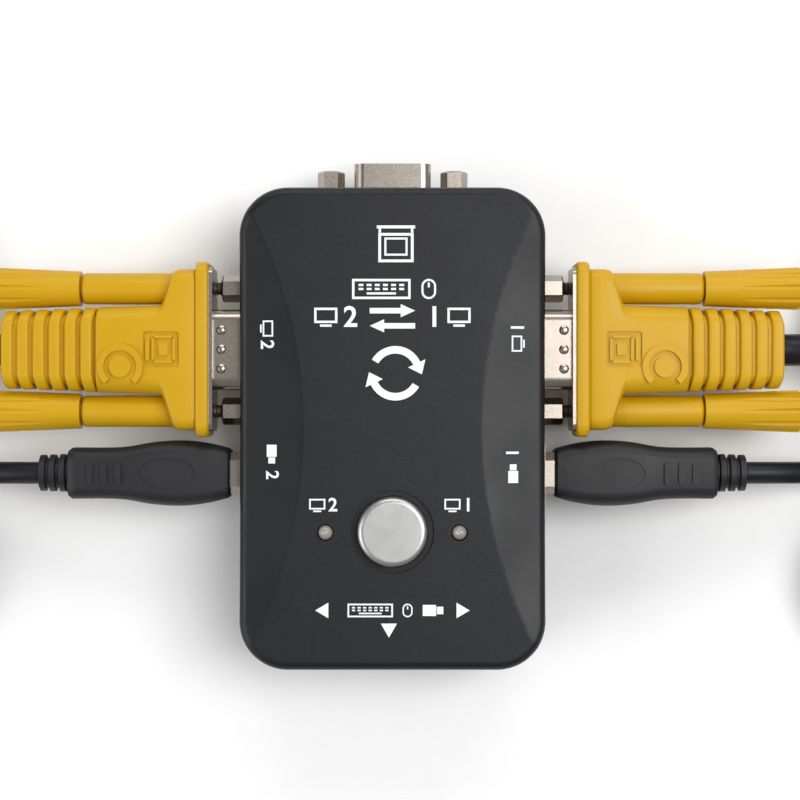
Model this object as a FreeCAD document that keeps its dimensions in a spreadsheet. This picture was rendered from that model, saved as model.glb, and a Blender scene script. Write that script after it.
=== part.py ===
import FreeCAD, Part
import os
import re
from math import cos, pi, radians, sin, sqrt, tan

import Sketcher

# A two-computer keyboard, video and mouse switch, with its two sets of leads plugged in.
# +X is the side of computer 1, +Y the side of the monitor socket and +Z is up.  The origin is
# on the surface that the feet stand on, under the middle of the box with its monitor socket.
# The formulas below count y from the middle of the case, and named() moves each piece.

os.makedirs("parts", exist_ok=True)
doc = FreeCAD.newDocument("SwitchBox")

# Driving dimensions, in millimetres, degrees and plain counts.
DIMENSIONS = {
    # case
    "case_width": 61, "case_length": 96, "case_height": 24.5, "case_corner": 9.7, "case_wall": 2,
    "seam_height": 10.5, "seam_chamfer": 0.3, "top_round": 1.8, "crease_round": 3, "bottom_round": 1.5,
    "waist_half_width": 17.8, "waist_radius": 94, "wing_slope": 0.21,
    "foot_height": 1.5, "foot_diameter": 8, "foot_inset_x": 22.5, "foot_from_end": 18,
    "foot_recess": 0.5, "port_gap": 0.2,
    # posts and screws
    "post_x": 22.5, "post_from_end": 6.7, "post_diameter": 6, "screw_diameter": 2.8,
    "screw_head": 5.2, "screw_head_height": 1.8, "screw_length": 13, "counterbore": 5.8,
    "counterbore_depth": 2.3, "fit_gap": 0.05,
    # board
    "board_thickness": 1.6, "board_clearance": 2.9, "board_edge_gap": 0.5, "board_corner": 7,
    "board_bore": 3.2,
    "video_chip_y": 13, "video_chip_width": 10, "video_chip_length": 12, "video_chip_height": 1.8,
    "hub_chip_y": 0, "hub_chip_width": 8, "hub_chip_length": 10, "hub_chip_height": 1.6,
    "chip_lift": 0.1, "leg_pitch": 1.27, "leg_length": 1, "leg_width": 0.4, "leg_height": 0.5,
    "can_x": 12, "can_y": -31, "can_diameter": 5, "can_height": 7,
    "crystal_y": -8.35, "crystal_width": 11, "crystal_length": 4.3, "crystal_height": 3.5,
    "resistor_pitch_x": 4, "resistor_y": 22.75, "resistor_pitch_y": 2.5, "resistor_width": 1.6,
    "resistor_length": 0.8, "resistor_height": 0.5,
    # button and switch
    "button_y": -20.4, "button_diameter": 14, "button_gap": 0.2, "button_proud": 2.2,
    "button_depth": 5, "button_round": 1.2, "button_flange": 16.6, "button_flange_height": 0.8,
    "button_dish": 16.6, "button_dish_depth": 0.6, "button_travel": 1.5,
    "switch_width": 8, "switch_height": 7, "plunger_diameter": 3.5, "plunger_sunk": 1.2,
    # lamps
    "lamp_x": 13.3, "lamp_y": -20.6, "lamp_diameter": 3, "lamp_hole": 3.3, "lamp_length": 5.4,
    "lamp_proud": 0.7,
    # monitor sockets and plugs (15 poles in three rows)
    "vga_from_middle": 8.7, "vga_share": 0.075, "vga_rise": 6.3,
    "vga_flange_width": 31, "vga_flange_height": 12.5, "vga_flange_thickness": 0.8, "vga_flange_sunk": 0.4, "vga_shell_width": 16.3,
    "vga_shell_height": 7.9, "vga_shell_corner": 2, "vga_shell_reach": 5.5, "vga_slant": 10,
    "vga_metal": 0.4, "vga_housing_depth": 12, "vga_housing_width": 30, "vga_insert_sunk": 0.3,
    "pole_pitch": 2.29, "row_pitch": 1.98, "pole_hole": 1.1, "pole_depth": 5, "pin_diameter": 0.76,
    "jackscrew_spacing": 25, "jackscrew_across": 4.8, "jackscrew_reach": 4.2,
    "jackscrew_bore": 2.9, "jackscrew_stud": 2.6, "jackscrew_stud_length": 5,
    # USB sockets
    "port_spacing": 25.1, "usb_b_width": 12, "usb_b_height": 10.9, "usb_b_depth": 16,
    "usb_rim": 0.3, "usb_metal": 0.35, "usb_b_mouth_width": 8.75, "usb_b_mouth_height": 8.1,
    "usb_b_mouth_depth": 11.5, "usb_b_mouth_chamfer": 1.6, "usb_b_tongue_width": 5.6,
    "usb_b_tongue_height": 3.2, "usb_b_tongue_sunk": 1.5,
    "usb_a_from_front": 16.5, "usb_a_width": 13.1, "usb_a_height": 5.7, "usb_a_depth": 14,
    "usb_a_tongue_width": 11.1, "usb_a_tongue_height": 1.84, "usb_a_tongue_sunk": 1.2,
    "usb_a_tongue_lift": 0.9, "usb_a_back": 2, "contact_pitch": 2.5, "contact_width": 1,
    "contact_height": 0.2,
    # monitor plug, measured outwards from the case wall
    "plug_gap": 0.15, "plug_mouth": 0.2, "plate_start": 5.8, "plate_thickness": 0.7,
    "plate_width": 33, "plate_height": 12,
    "hood_flange_width": 35.4, "hood_flange_height": 14, "hood_flange_depth": 2.7,
    "hood_block_width": 32.5, "hood_height": 12.4, "hood_block_end": 13.2, "hood_taper_end": 16.6,
    "hood_neck_width": 18, "hood_neck_end": 28.7, "hood_round": 1.4, "hood_corner": 2.5,
    "relief_width": 17.2, "relief_end_width": 15.9, "relief_height": 11, "relief_end": 48,
    "relief_groove": 0.8, "relief_groove_depth": 1, "relief_ribs": 6, "relief_round": 2,
    "sleeve_diameter": 6.4, "sleeve_end": 32.7, "sleeve_bore": 3.2,
    "badge_start": 12.6, "badge_size": 7, "badge_depth": 0.4, "ring_at": 24.3, "ring_offset": 3.5,
    "ring_diameter": 9, "ring_line": 0.9, "ring_height": 0.4, "ring_dot": 4.4,
    "thumb_tip": 1, "thumb_thread": 2.8, "thumb_thread_depth": 0.25, "thumb_thread_pitch": 0.64,
    "thumb_thread_turns": 14, "thumb_shank": 2.6, "thumb_collar": 4, "thumb_start": 33,
    "thumb_length": 19.4, "thumb_diameter": 7.1, "thumb_end_diameter": 8.7, "thumb_flutes": 10,
    "thumb_flute": 1.3, "thumb_slot": 1.2, "thumb_slot_depth": 1.5,
    # USB plugs
    "plug_b_start": 2.4, "plug_b_insert": 9.2, "plug_b_width": 8.45, "plug_b_height": 7.78,
    "plug_b_chamfer": 1.6, "plug_b_metal": 0.4, "plug_b_length": 33, "plug_b_thickness": 10,
    "plug_b_front": 9.6, "plug_b_belly": 13.2, "plug_b_belly_at": 13.5, "plug_b_waist": 10.3,
    "plug_b_waist_at": 27, "plug_b_round": 2.4,
    "ridge_pitch": 2.85, "ridge_width": 1.2, "ridge_length": 4.4, "ridge_height": 0.4,
    "usb_relief": 7.7, "usb_relief_length": 6.2, "usb_relief_slot": 0.9, "usb_relief_core": 6.2,
    "plug_a_width": 12, "plug_a_height": 4.5, "plug_a_insert": 11.8, "plug_a_metal": 0.3,
    "plug_a_body_width": 15.6, "plug_a_body_height": 7.8, "plug_a_body_length": 30,
    "plug_a_filling": 2,
    # leads
    "vga_cord": 6.5, "vga_coil_columns": 3, "vga_coil_layers": 2, "vga_coil_radius": 21.45,
    "vga_coil_straight": 35.6, "vga_coil_start": 9, "vga_coil_shift": 6.1,
    "vga_lead_level": 2.6, "vga_lead_rise": 6, "vga_lead_past": 6.5, "vga_lead_fall": 18,
    "vga_lead_floor": 14,
    "usb_cord": 4.5, "usb_coil_columns": 2, "usb_coil_layers": 3, "usb_coil_radius": 13.85,
    "usb_coil_straight": 61.3, "usb_coil_start": 15.4, "usb_coil_shift": 22.15,
    "usb_lead_level": 6, "usb_lead_fall": 18.5, "usb_lead_floor": 6, "usb_far_plug_start": 11.5,
    "coil_touch": 0.3,
}
# Places along the case that follow its length.
FOLLOWING = {
    "foot_inset_y": "=case_length / 2 - foot_from_end",
    "post_y": "=case_length / 2 - post_from_end",
    "usb_a_side_y": "=usb_a_from_front - case_length / 2",
    "vga_y": "=vga_from_middle + vga_share * case_length",
    "usb_b_y": "=vga_y - port_spacing",
}
SIZES = DIMENSIONS | FOLLOWING

sheet = doc.addObject("Spreadsheet::Sheet", "Sizes")
for row, (alias, number) in enumerate(SIZES.items(), start=1):
    sheet.set(f"A{row}", alias)
    sheet.set(f"B{row}", str(number))
    sheet.setAlias(f"B{row}", alias)
doc.recompute()

# Places that several pieces share, as formulas of the sheet's aliases.
CASE_TOP = "(foot_height + case_height)"
SEAM = "(foot_height + seam_height)"
FLOOR = "(foot_height + case_wall)"
BOARD_BOTTOM = "(foot_height + case_wall + board_clearance)"
BOARD_TOP = "(foot_height + case_wall + board_clearance + board_thickness)"
CEILING = "(foot_height + case_height - case_wall)"
VGA_AXIS = f"({BOARD_TOP} + vga_rise)"
USB_B_AXIS = f"({BOARD_TOP} + usb_b_height / 2)"
USB_A_AXIS = f"({BOARD_TOP} + usb_a_height / 2)"
JACK_OFFSET = "(jackscrew_spacing / 2)"
PLATE_END = "(plate_start + plate_thickness)"
HOOD_FLANGE_END = f"({PLATE_END} + hood_flange_depth)"
PLUG_B_END = "(plug_b_start + plug_b_length)"

X_AXIS = FreeCAD.Vector(1, 0, 0)
Y_AXIS = FreeCAD.Vector(0, 1, 0)
Z_AXIS = FreeCAD.Vector(0, 0, 1)
ALONG_X = FreeCAD.Rotation(Y_AXIS, 90)


def formula(text):
    """The text as an expression, with the sheet's name before each of its aliases."""
    def with_sheet(match):
        word = match.group(0)
        return "Sizes." + word if word in SIZES else word
    return re.sub(r"[a-z_][a-z0-9_]*", with_sheet, str(text))


def size(text):
    """The number that a formula comes to."""
    return float(sheet.evalExpression(formula(text)))


def bind(item, **sizes):
    """Bind an object's properties to formulas."""
    for name, text in sizes.items():
        item.setExpression(name, formula(text))
    return item


def put(item, x=0, y=0, z=0, turn=None):
    """Bind an object's place, after an optional turn."""
    if turn is not None:
        item.Placement = FreeCAD.Placement(FreeCAD.Vector(), turn)
    for axis, text in zip("xyz", (x, y, z)):
        item.setExpression(f"Placement.Base.{axis}", formula(text))
    return item


def named(item, label):
    """A piece of the whole, moved so that the origin is under the middle of case and socket."""
    moved = put(group([item]), y="-vga_shell_reach / 2")
    moved.Label = label
    return moved


# ---- Part primitives and booleans

def box(x0, x1, y0, y1, z0, z1):
    item = doc.addObject("Part::Box", "Box")
    bind(item, Length=f"{x1} - ({x0})", Width=f"{y1} - ({y0})", Height=f"{z1} - ({z0})")
    return put(item, x0, y0, z0)


def centred_box(x0, x1, width, height, y=0, z=0):
    """A box along X, centred on a line parallel to X."""
    return box(x0, x1, f"{y} - {width} / 2", f"{y} + {width} / 2",
               f"{z} - {height} / 2", f"{z} + {height} / 2")


def post(diameter, x, y, z0, z1):
    """An upright cylinder."""
    item = doc.addObject("Part::Cylinder", "Post")
    bind(item, Radius=f"({diameter}) / 2", Height=f"{z1} - ({z0})")
    return put(item, x, y, z0)


def rod(diameter, x0, x1, y=0, z=0):
    """A cylinder along X."""
    item = doc.addObject("Part::Cylinder", "Rod")
    bind(item, Radius=f"({diameter}) / 2", Height=f"{x1} - ({x0})")
    return put(item, x0, y, z, ALONG_X)


def cone(diameter_0, diameter_1, x0, x1, y=0, z=0):
    """A cone along X."""
    item = doc.addObject("Part::Cone", "Cone")
    bind(item, Radius1=f"({diameter_0}) / 2", Radius2=f"({diameter_1}) / 2",
         Height=f"{x1} - ({x0})")
    return put(item, x0, y, z, ALONG_X)


def fuse(pieces):
    item = doc.addObject("Part::MultiFuse", "Fuse")
    item.Shapes = pieces
    return item


def cut(base, tools):
    item = doc.addObject("Part::Cut", "Cut")
    item.Base = base
    item.Tool = tools[0] if len(tools) == 1 else fuse(tools)
    return item


def group(pieces):
    """Separate solids that share one node."""
    item = doc.addObject("Part::Compound", "Group")
    item.Links = pieces
    return item


def part_fillet(base, radius, test):
    """Round the edges of a boolean's result that the test picks."""
    item = doc.addObject("Part::Fillet", "Fillet")
    item.Base = base
    item.Edges = [(place, size(radius), size(radius))
                  for place, edge in enumerate(base.Shape.Edges, start=1) if test(edge)]
    doc.recompute()
    return item


# ---- PartDesign bodies

def new_body():
    return doc.addObject("PartDesign::Body", "Body")


def origin_plane(body, role):
    return next(item for item in body.Origin.OriginFeatures if item.Role == role)


def outline(body, role, offset, points):
    """A closed outline of straight lines, each corner bound to its two formulas."""
    sketch = body.newObject("Sketcher::SketchObject", "Outline")
    sketch.AttachmentSupport = [(origin_plane(body, role), "")]
    sketch.MapMode = "FlatFace"
    sketch.setExpression("AttachmentOffset.Base.z", formula(offset))
    corners = [(size(across), size(up)) for across, up in points]
    count = len(points)
    for index in range(count):
        start = FreeCAD.Vector(*corners[index], 0)
        end = FreeCAD.Vector(*corners[(index + 1) % count], 0)
        sketch.addGeometry(Part.LineSegment(start, end), False)
    for index in range(count):
        sketch.addConstraint(Sketcher.Constraint("Coincident", index, 2, (index + 1) % count, 1))
    for index, point in enumerate(points):
        for kind, text, value, axis in (("DistanceX", point[0], corners[index][0], -2),
                                        ("DistanceY", point[1], corners[index][1], -1)):
            if text == 0:
                sketch.addConstraint(Sketcher.Constraint("PointOnObject", index, 1, axis))
                continue
            place = sketch.addConstraint(Sketcher.Constraint(kind, -1, 1, index, 1, value))
            sketch.setExpression(f"Constraints[{place}]", formula(text))
    return sketch


def pad(body, sketch, length, midplane=False):
    item = body.newObject("PartDesign::Pad", "Pad")
    item.Profile = sketch
    item.Midplane = midplane
    bind(item, Length=length)
    doc.recompute()
    return item


def edges_where(shape, test):
    return [f"Edge{place}" for place, edge in enumerate(shape.Edges, start=1) if test(edge)]


def direction(edge):
    """The direction of an edge at its middle."""
    middle = (edge.FirstParameter + edge.LastParameter) / 2
    return edge.tangentAt(middle)


def round_edges(body, base, radius, test, kind="Fillet"):
    """Fillet or chamfer the edges of the body's last feature that the test picks."""
    item = body.newObject(f"PartDesign::{kind}", kind)
    item.Base = (base, edges_where(base.Shape, test))
    bind(item, **{"Radius" if kind == "Fillet" else "Size": radius})
    doc.recompute()
    body.Tip = item
    return item


def upright(edge):
    return abs(direction(edge).z) > 0.99


def along_x(edge):
    return abs(direction(edge).x) > 0.99


def level_at(height):
    """Picks the edges that lie level at a height."""
    def test(edge):
        return abs(edge.BoundBox.ZMin - height) < 0.01 and abs(edge.BoundBox.ZMax - height) < 0.01
    return test


def rectangle(half_width, half_length):
    return [(f"-{half_width}", f"-{half_length}"), (half_width, f"-{half_length}"),
            (half_width, half_length), (f"-{half_width}", half_length)]


def plate_block(half_width, half_length, corner, z0, z1):
    """An upright block with rounded corners in plan."""
    body = new_body()
    sketch = outline(body, "XY_Plane", z0, rectangle(half_width, half_length))
    block = pad(body, sketch, f"{z1} - ({z0})")
    return body, round_edges(body, block, corner, upright)


def d_prism(width, height, corner, x0, x1):
    """A prism along X of D-shaped section, wide side up, with rounded corners."""
    body = new_body()
    narrow = f"({width} / 2 - {height} * tan(vga_slant * 1deg))"
    points = [(f"-{width} / 2", f"{height} / 2"), (f"-{narrow}", f"-{height} / 2"),
              (narrow, f"-{height} / 2"), (f"{width} / 2", f"{height} / 2")]
    sketch = outline(body, "YZ_Plane", x0, points)
    prism = pad(body, sketch, f"{x1} - ({x0})")
    round_edges(body, prism, corner, along_x)
    return body


def chamfered_prism(width, height, chamfer, x0, x1):
    """A prism along X of rectangular section with its two upper corners cut off."""
    body = new_body()
    points = [(f"-{width} / 2", f"-{height} / 2"), (f"{width} / 2", f"-{height} / 2"),
              (f"{width} / 2", f"{height} / 2 - {chamfer}"),
              (f"{width} / 2 - {chamfer}", f"{height} / 2"),
              (f"-{width} / 2 + {chamfer}", f"{height} / 2"),
              (f"-{width} / 2", f"{height} / 2 - {chamfer}")]
    sketch = outline(body, "YZ_Plane", x0, points)
    pad(body, sketch, f"{x1} - ({x0})")
    return body


def round_block(width, height, radius, x0, x1, test=None):
    """A block along X, centred on the axis, with its lengthwise or other edges rounded."""
    body = new_body()
    sketch = outline(body, "YZ_Plane", x0, rectangle(f"{width} / 2", f"{height} / 2"))
    block = pad(body, sketch, f"{x1} - ({x0})")
    round_edges(body, block, radius, test or along_x)
    return body


# ---- places of the four walls: a local +X points out of the wall

WALLS = {"right": (0, "case_width / 2", None), "left": (180, "-case_width / 2", None),
         "rear": (90, None, "case_length / 2"), "front": (270, None, "-case_length / 2")}


def on_wall(item, wall, along, height, out=0):
    """Seat a piece on a wall, at a distance along it and a height."""
    angle, x, y = WALLS[wall]
    turn = FreeCAD.Rotation(Z_AXIS, angle)
    outward = turn.multVec(X_AXIS)
    place_x = f"{x} + {round(outward.x)} * {out}" if x else along
    place_y = f"{y} + {round(outward.y)} * {out}" if y else along
    return put(item, place_x, place_y, height, turn)


PORTS = []


def port(wall, along, height, width, tall):
    """Note an opening that both covers have in a wall."""
    PORTS.append((wall, along, height, width, tall))


def port_cutters():
    cutters = []
    for wall, along, height, width, tall in PORTS:
        cutter = centred_box("-case_wall - 1", "1", f"({width} + 2 * port_gap)",
                             f"({tall} + 2 * port_gap)")
        cutters.append(on_wall(group([cutter]), wall, along, height))
    return cutters


# ---- covers

CORNERS = [(side, end) for side in (1, -1) for end in (1, -1)]


def wing_cutters(lowered):
    """Cones that take the two wings off the crown, and so leave its waisted middle panel."""
    reach, over = 8, 2
    cones = []
    for side in (1, -1):
        item = doc.addObject("Part::Cone", "Wing")
        bind(item, Radius1=f"waist_radius - {reach} / wing_slope",
             Radius2=f"waist_radius + {over} / wing_slope", Height=f"{reach} + {over}")
        cones.append(put(item, f"{side} * (waist_half_width + waist_radius)", 0,
                         f"{CASE_TOP} - {lowered} - {reach}",
                         FreeCAD.Rotation(Z_AXIS, 0 if side > 0 else 180)))
    return cones


def crown(inset, z0, lowered):
    """The waisted crown block of the top cover, or of the room inside it."""
    return plate_block(f"(case_width / 2 - {inset})", f"(case_length / 2 - {inset})",
                       f"case_corner - {inset}", z0, f"({CASE_TOP} - {lowered})")


def top_cover():
    body, block = crown("0", SEAM, "0")
    round_edges(body, block, "seam_chamfer", level_at(size(SEAM)), "Chamfer")
    waisted = cut(body, wing_cutters("0"))
    doc.recompute()
    top = size(CASE_TOP)
    half_width, half_length = size("case_width / 2"), size("case_length / 2")
    centre_x, centre_y = half_width - size("case_corner"), half_length - size("case_corner")

    def on_rim(edge):
        if edge.BoundBox.ZMin < top - 6 or upright(edge):
            return False
        middle = edge.valueAt((edge.FirstParameter + edge.LastParameter) / 2)
        x, y = abs(middle.x), abs(middle.y)
        if x > centre_x and y > centre_y:
            from_corner = sqrt((x - centre_x) ** 2 + (y - centre_y) ** 2)
            return abs(from_corner - size("case_corner")) < 0.02
        return abs(x - half_width) < 0.02 or abs(y - half_length) < 0.02

    def crease(edge):
        return edge.BoundBox.ZMin > top - 0.01 and not on_rim(edge)
    softened = part_fillet(waisted, "crease_round", crease)
    rounded = part_fillet(softened, "top_round", on_rim)
    room_body, _ = crown("case_wall", SEAM, "case_wall")
    room = cut(room_body, wing_cutters("case_wall"))
    holes = [post("button_diameter + 2 * button_gap", 0, "button_y", SEAM, f"{CASE_TOP} + 1"),
             post("button_dish", 0, "button_y", f"{CASE_TOP} - button_dish_depth", f"{CASE_TOP} + 1")]
    for side in (1, -1):
        holes.append(post("lamp_hole", f"{side} * lamp_x", "lamp_y", SEAM, f"{CASE_TOP} + 1"))
    shell = cut(rounded, [room] + holes)
    posts = [post("post_diameter", f"{side} * post_x", f"{end} * post_y", BOARD_TOP,
                  f"{CEILING} + 0.5") for side, end in CORNERS]
    bores = [post("screw_diameter + 2 * fit_gap", f"{side} * post_x", f"{end} * post_y", BOARD_TOP,
                  f"foot_height + screw_length + 1.5") for side, end in CORNERS]
    return named(cut(fuse([shell] + posts), bores + port_cutters()), "top_cover")


def bottom_cover():
    body, block = plate_block("(case_width / 2)", "(case_length / 2)", "case_corner",
                              "foot_height", SEAM)
    rim = round_edges(body, block, "bottom_round", level_at(size("foot_height")))
    round_edges(body, rim, "seam_chamfer", level_at(size(SEAM)), "Chamfer")
    room, _ = plate_block("(case_width / 2 - case_wall)", "(case_length / 2 - case_wall)",
                          "case_corner - case_wall", FLOOR, f"({SEAM} + 1)")
    posts, cutters = [], [room]
    for side, end in CORNERS:
        x, y = f"{side} * post_x", f"{end} * post_y"
        posts.append(post("post_diameter", x, y, f"{FLOOR} - 0.5", BOARD_BOTTOM))
    shell = fuse([cut(body, cutters)] + posts)
    bores = []
    for side, end in CORNERS:
        x, y = f"{side} * post_x", f"{end} * post_y"
        bores.append(post("screw_diameter + 2 * fit_gap", x, y, 0, f"{BOARD_BOTTOM} + 1"))
        bores.append(post("counterbore", x, y, 0, "foot_height + counterbore_depth"))
        bores.append(post("foot_diameter", f"{side} * foot_inset_x", f"{end} * foot_inset_y", 0,
                          "foot_height + foot_recess"))
    return named(cut(shell, bores + port_cutters()), "bottom_cover")


def rubber_feet():
    return named(group([post("foot_diameter", f"{side} * foot_inset_x", f"{end} * foot_inset_y",
                             0, "foot_height + foot_recess") for side, end in CORNERS]),
                 "rubber_feet")


def case_screws():
    screws = []
    for side, end in CORNERS:
        x, y = f"{side} * post_x", f"{end} * post_y"
        seat = "(foot_height + counterbore_depth)"
        head = post("screw_head", x, y, f"{seat} - screw_head_height", seat)
        shank = post("screw_diameter", x, y, f"{seat} - 0.5", "foot_height + screw_length")
        slots = [box(f"{x} - screw_head * 0.3", f"{x} + screw_head * 0.3", f"{y} - 0.4",
                     f"{y} + 0.4", f"{seat} - screw_head_height", f"{seat} - 0.9"),
                 box(f"{x} - 0.4", f"{x} + 0.4", f"{y} - screw_head * 0.3",
                     f"{y} + screw_head * 0.3", f"{seat} - screw_head_height", f"{seat} - 0.9")]
        screws.append(cut(fuse([head, shank]), slots))
    return named(group(screws), "case_screws")


# ---- board and what is on it

def circuit_board():
    inset = "(case_wall + board_edge_gap)"
    body, _ = plate_block(f"(case_width / 2 - {inset})", f"(case_length / 2 - {inset})",
                          "board_corner", BOARD_BOTTOM, BOARD_TOP)
    bores = [post("board_bore", f"{side} * post_x", f"{end} * post_y",
                  f"{BOARD_BOTTOM} - 1", f"{BOARD_TOP} + 1") for side, end in CORNERS]
    return named(cut(body, bores), "circuit_board")


def on_board(x, y, width, length, height, lift="0"):
    """A box that stands on the board, centred on a point of it."""
    return box(f"{x} - {width} / 2", f"{x} + {width} / 2", f"{y} - {length} / 2",
               f"{y} + {length} / 2", f"{BOARD_TOP} + {lift}", f"{BOARD_TOP} + {height}")


def chip(label, kind):
    """A flat chip on the board, with its row of legs on two sides."""
    y, width, length = f"{kind}_y", f"{kind}_width", f"{kind}_length"
    pieces = [on_board("0", y, width, length, f"{kind}_height", "chip_lift")]
    legs = int(size(f"{length} / leg_pitch")) - 1
    for side in (1, -1):
        x_leg = f"{side} * ({width} / 2 + leg_length / 2 - leg_width / 4)"
        for leg in range(legs):
            y_leg = f"({y} + {leg - (legs - 1) / 2} * leg_pitch)"
            pieces.append(on_board(x_leg, y_leg, "leg_length", "leg_width", "leg_height"))
    return named(fuse(pieces), label)


def board_parts():
    cans = [post("can_diameter", f"{side} * can_x", "can_y", BOARD_TOP, f"{BOARD_TOP} + can_height")
            for side in (-1, 1)]
    crystal = on_board("0", "crystal_y", "crystal_width", "crystal_length", "crystal_height")
    resistors = [on_board(f"{column} * resistor_pitch_x", f"(resistor_y + {row} * resistor_pitch_y)",
                          "resistor_width", "resistor_length", "resistor_height")
                 for column in (-2, -1, 0, 1, 2) for row in (-0.5, 0.5)]
    return [chip("video_switch_chip", "video_chip"), chip("usb_hub_chip", "hub_chip"),
            named(group(cans), "capacitors"), named(crystal, "crystal"),
            named(group(resistors), "chip_resistors")]


# ---- button, switch and lamps

def button():
    top = f"({CASE_TOP} + button_proud)"
    body = new_body()
    sketch = outline(body, "XZ_Plane", "-button_y", [
        (0, f"{CASE_TOP} - button_depth"),
        ("button_flange / 2", f"{CASE_TOP} - button_depth"),
        ("button_flange / 2", f"{CASE_TOP} - button_depth + button_flange_height"),
        ("button_diameter / 2", f"{CASE_TOP} - button_depth + button_flange_height"),
        ("button_diameter / 2", top), (0, top)])
    turned = body.newObject("PartDesign::Revolution", "Revolution")
    turned.Profile = sketch
    turned.ReferenceAxis = (sketch, ["V_Axis"])
    turned.Angle = 360
    doc.recompute()
    round_edges(body, turned, "button_round", level_at(size(top)))
    return named(body, "button_cap")


def push_switch():
    half = "switch_width / 2"
    top = f"({BOARD_TOP} + switch_height)"
    body = box(f"-{half}", half, f"button_y - {half}", f"button_y + {half}", BOARD_TOP, top)
    bore = post("plunger_diameter + 0.2", 0, "button_y", f"{BOARD_TOP} + 1.5", f"{top} + 1")
    return named(cut(body, [bore]), "push_switch")


def switch_plunger():
    start = f"{BOARD_TOP} + switch_height - plunger_sunk - button_travel"
    return named(post("plunger_diameter", 0, "button_y", start, f"{CASE_TOP} - button_depth"),
                 "switch_plunger")


def lamp(label, side):
    x = f"{side} * lamp_x"
    top = f"({CASE_TOP} + lamp_proud)"
    dome = doc.addObject("Part::Sphere", "Dome")
    bind(dome, Radius="lamp_diameter / 2")
    put(dome, x, "lamp_y", f"{top} - lamp_diameter / 2")
    barrel = post("lamp_diameter", x, "lamp_y", f"{top} - lamp_length", f"{top} - lamp_diameter / 2")
    legs = [post(0.5, f"{x} + {leg}", "lamp_y", BOARD_TOP, f"{top} - lamp_length + 0.5")
            for leg in (-0.9, 0.9)]
    return named(fuse([dome, barrel] + legs), label)


# ---- monitor sockets

def pole_places():
    """The fifteen poles across and up: three rows of five, the middle row shifted."""
    places = []
    for row_number, shift in ((1, 0.25), (0, -0.25), (-1, 0.25)):
        for pole in (-2, -1, 0, 1, 2):
            places.append((f"({pole} + {shift}) * pole_pitch", f"{row_number} * row_pitch"))
    return places


def monitor_socket(label, wall, along):
    face = "-vga_flange_sunk"
    back = "(-vga_flange_sunk - vga_flange_thickness)"
    port(wall, along, VGA_AXIS, "vga_flange_width", "vga_flange_height")
    flange = round_block("vga_flange_width", "vga_flange_height", 1, back, face)
    outer = d_prism("vga_shell_width", "vga_shell_height", "vga_shell_corner", back,
                    "vga_shell_reach")
    inner = d_prism("(vga_shell_width - 2 * vga_metal)", "(vga_shell_height - 2 * vga_metal)",
                    "vga_shell_corner - vga_metal", f"{back} - 1", "vga_shell_reach + 1")
    holes = [rod("jackscrew_stud + 0.2", "-4", "1", f"{side} * {JACK_OFFSET}") for side in (1, -1)]
    shell = on_wall(cut(fuse([flange, outer]), [inner] + holes), wall, along, VGA_AXIS)
    front = "(vga_shell_reach - vga_insert_sunk)"
    face_block = d_prism("(vga_shell_width - 2 * vga_metal)",
                         "(vga_shell_height - 2 * vga_metal)", "vga_shell_corner - vga_metal",
                         back, front)
    housing = box("-vga_housing_depth", back, "-vga_housing_width / 2", "vga_housing_width / 2",
                  f"{BOARD_TOP} - {VGA_AXIS}", "vga_flange_height / 2 - 0.2")
    holes = [rod("pole_hole", f"{front} - pole_depth - 1", f"{front} + 1", y, z)
             for y, z in pole_places()]
    holes += [rod("jackscrew_stud + 0.2", "-vga_housing_depth - 1", 0,
                  f"{side} * {JACK_OFFSET}") for side in (1, -1)]
    insert = on_wall(cut(fuse([face_block, housing]), holes), wall, along, VGA_AXIS)
    return [named(shell, f"vga_shell_{label}"), named(insert, f"vga_insert_{label}")]


def hexagon(across):
    """The corners of a hexagon, across its flats, standing on a flat."""
    far = f"({across} / sqrt(3))"
    return [(far, 0), (f"{far} / 2", f"{across} / 2"), (f"-{far} / 2", f"{across} / 2"),
            (f"-{far}", 0), (f"-{far} / 2", f"-{across} / 2"), (f"{far} / 2", f"-{across} / 2")]


def jackscrew(wall, along, side):
    body = new_body()
    face = "-vga_flange_sunk"
    sketch = outline(body, "YZ_Plane", face, hexagon("jackscrew_across"))
    pad(body, sketch, f"jackscrew_reach - ({face})")
    bevel = cone("2 * jackscrew_across - 2 * 2.2", "jackscrew_across - 0.4",
                 "jackscrew_reach - 2.2", "jackscrew_reach")
    head = doc.addObject("Part::Common", "Head")
    head.Base = body
    head.Tool = fuse([bevel, rod("2 * jackscrew_across", f"{face} - 1",
                                 "jackscrew_reach - 2.2 + 0.01")])
    stud = rod("jackscrew_stud", f"{face} - jackscrew_stud_length", f"{face} + 0.5")
    bore = rod("jackscrew_bore", f"{face} + 1", "jackscrew_reach + 1")
    across = f"{along} + {side} * {JACK_OFFSET}"
    return on_wall(cut(fuse([head, stud]), [bore]), wall, across, VGA_AXIS)


# ---- USB sockets

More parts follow.
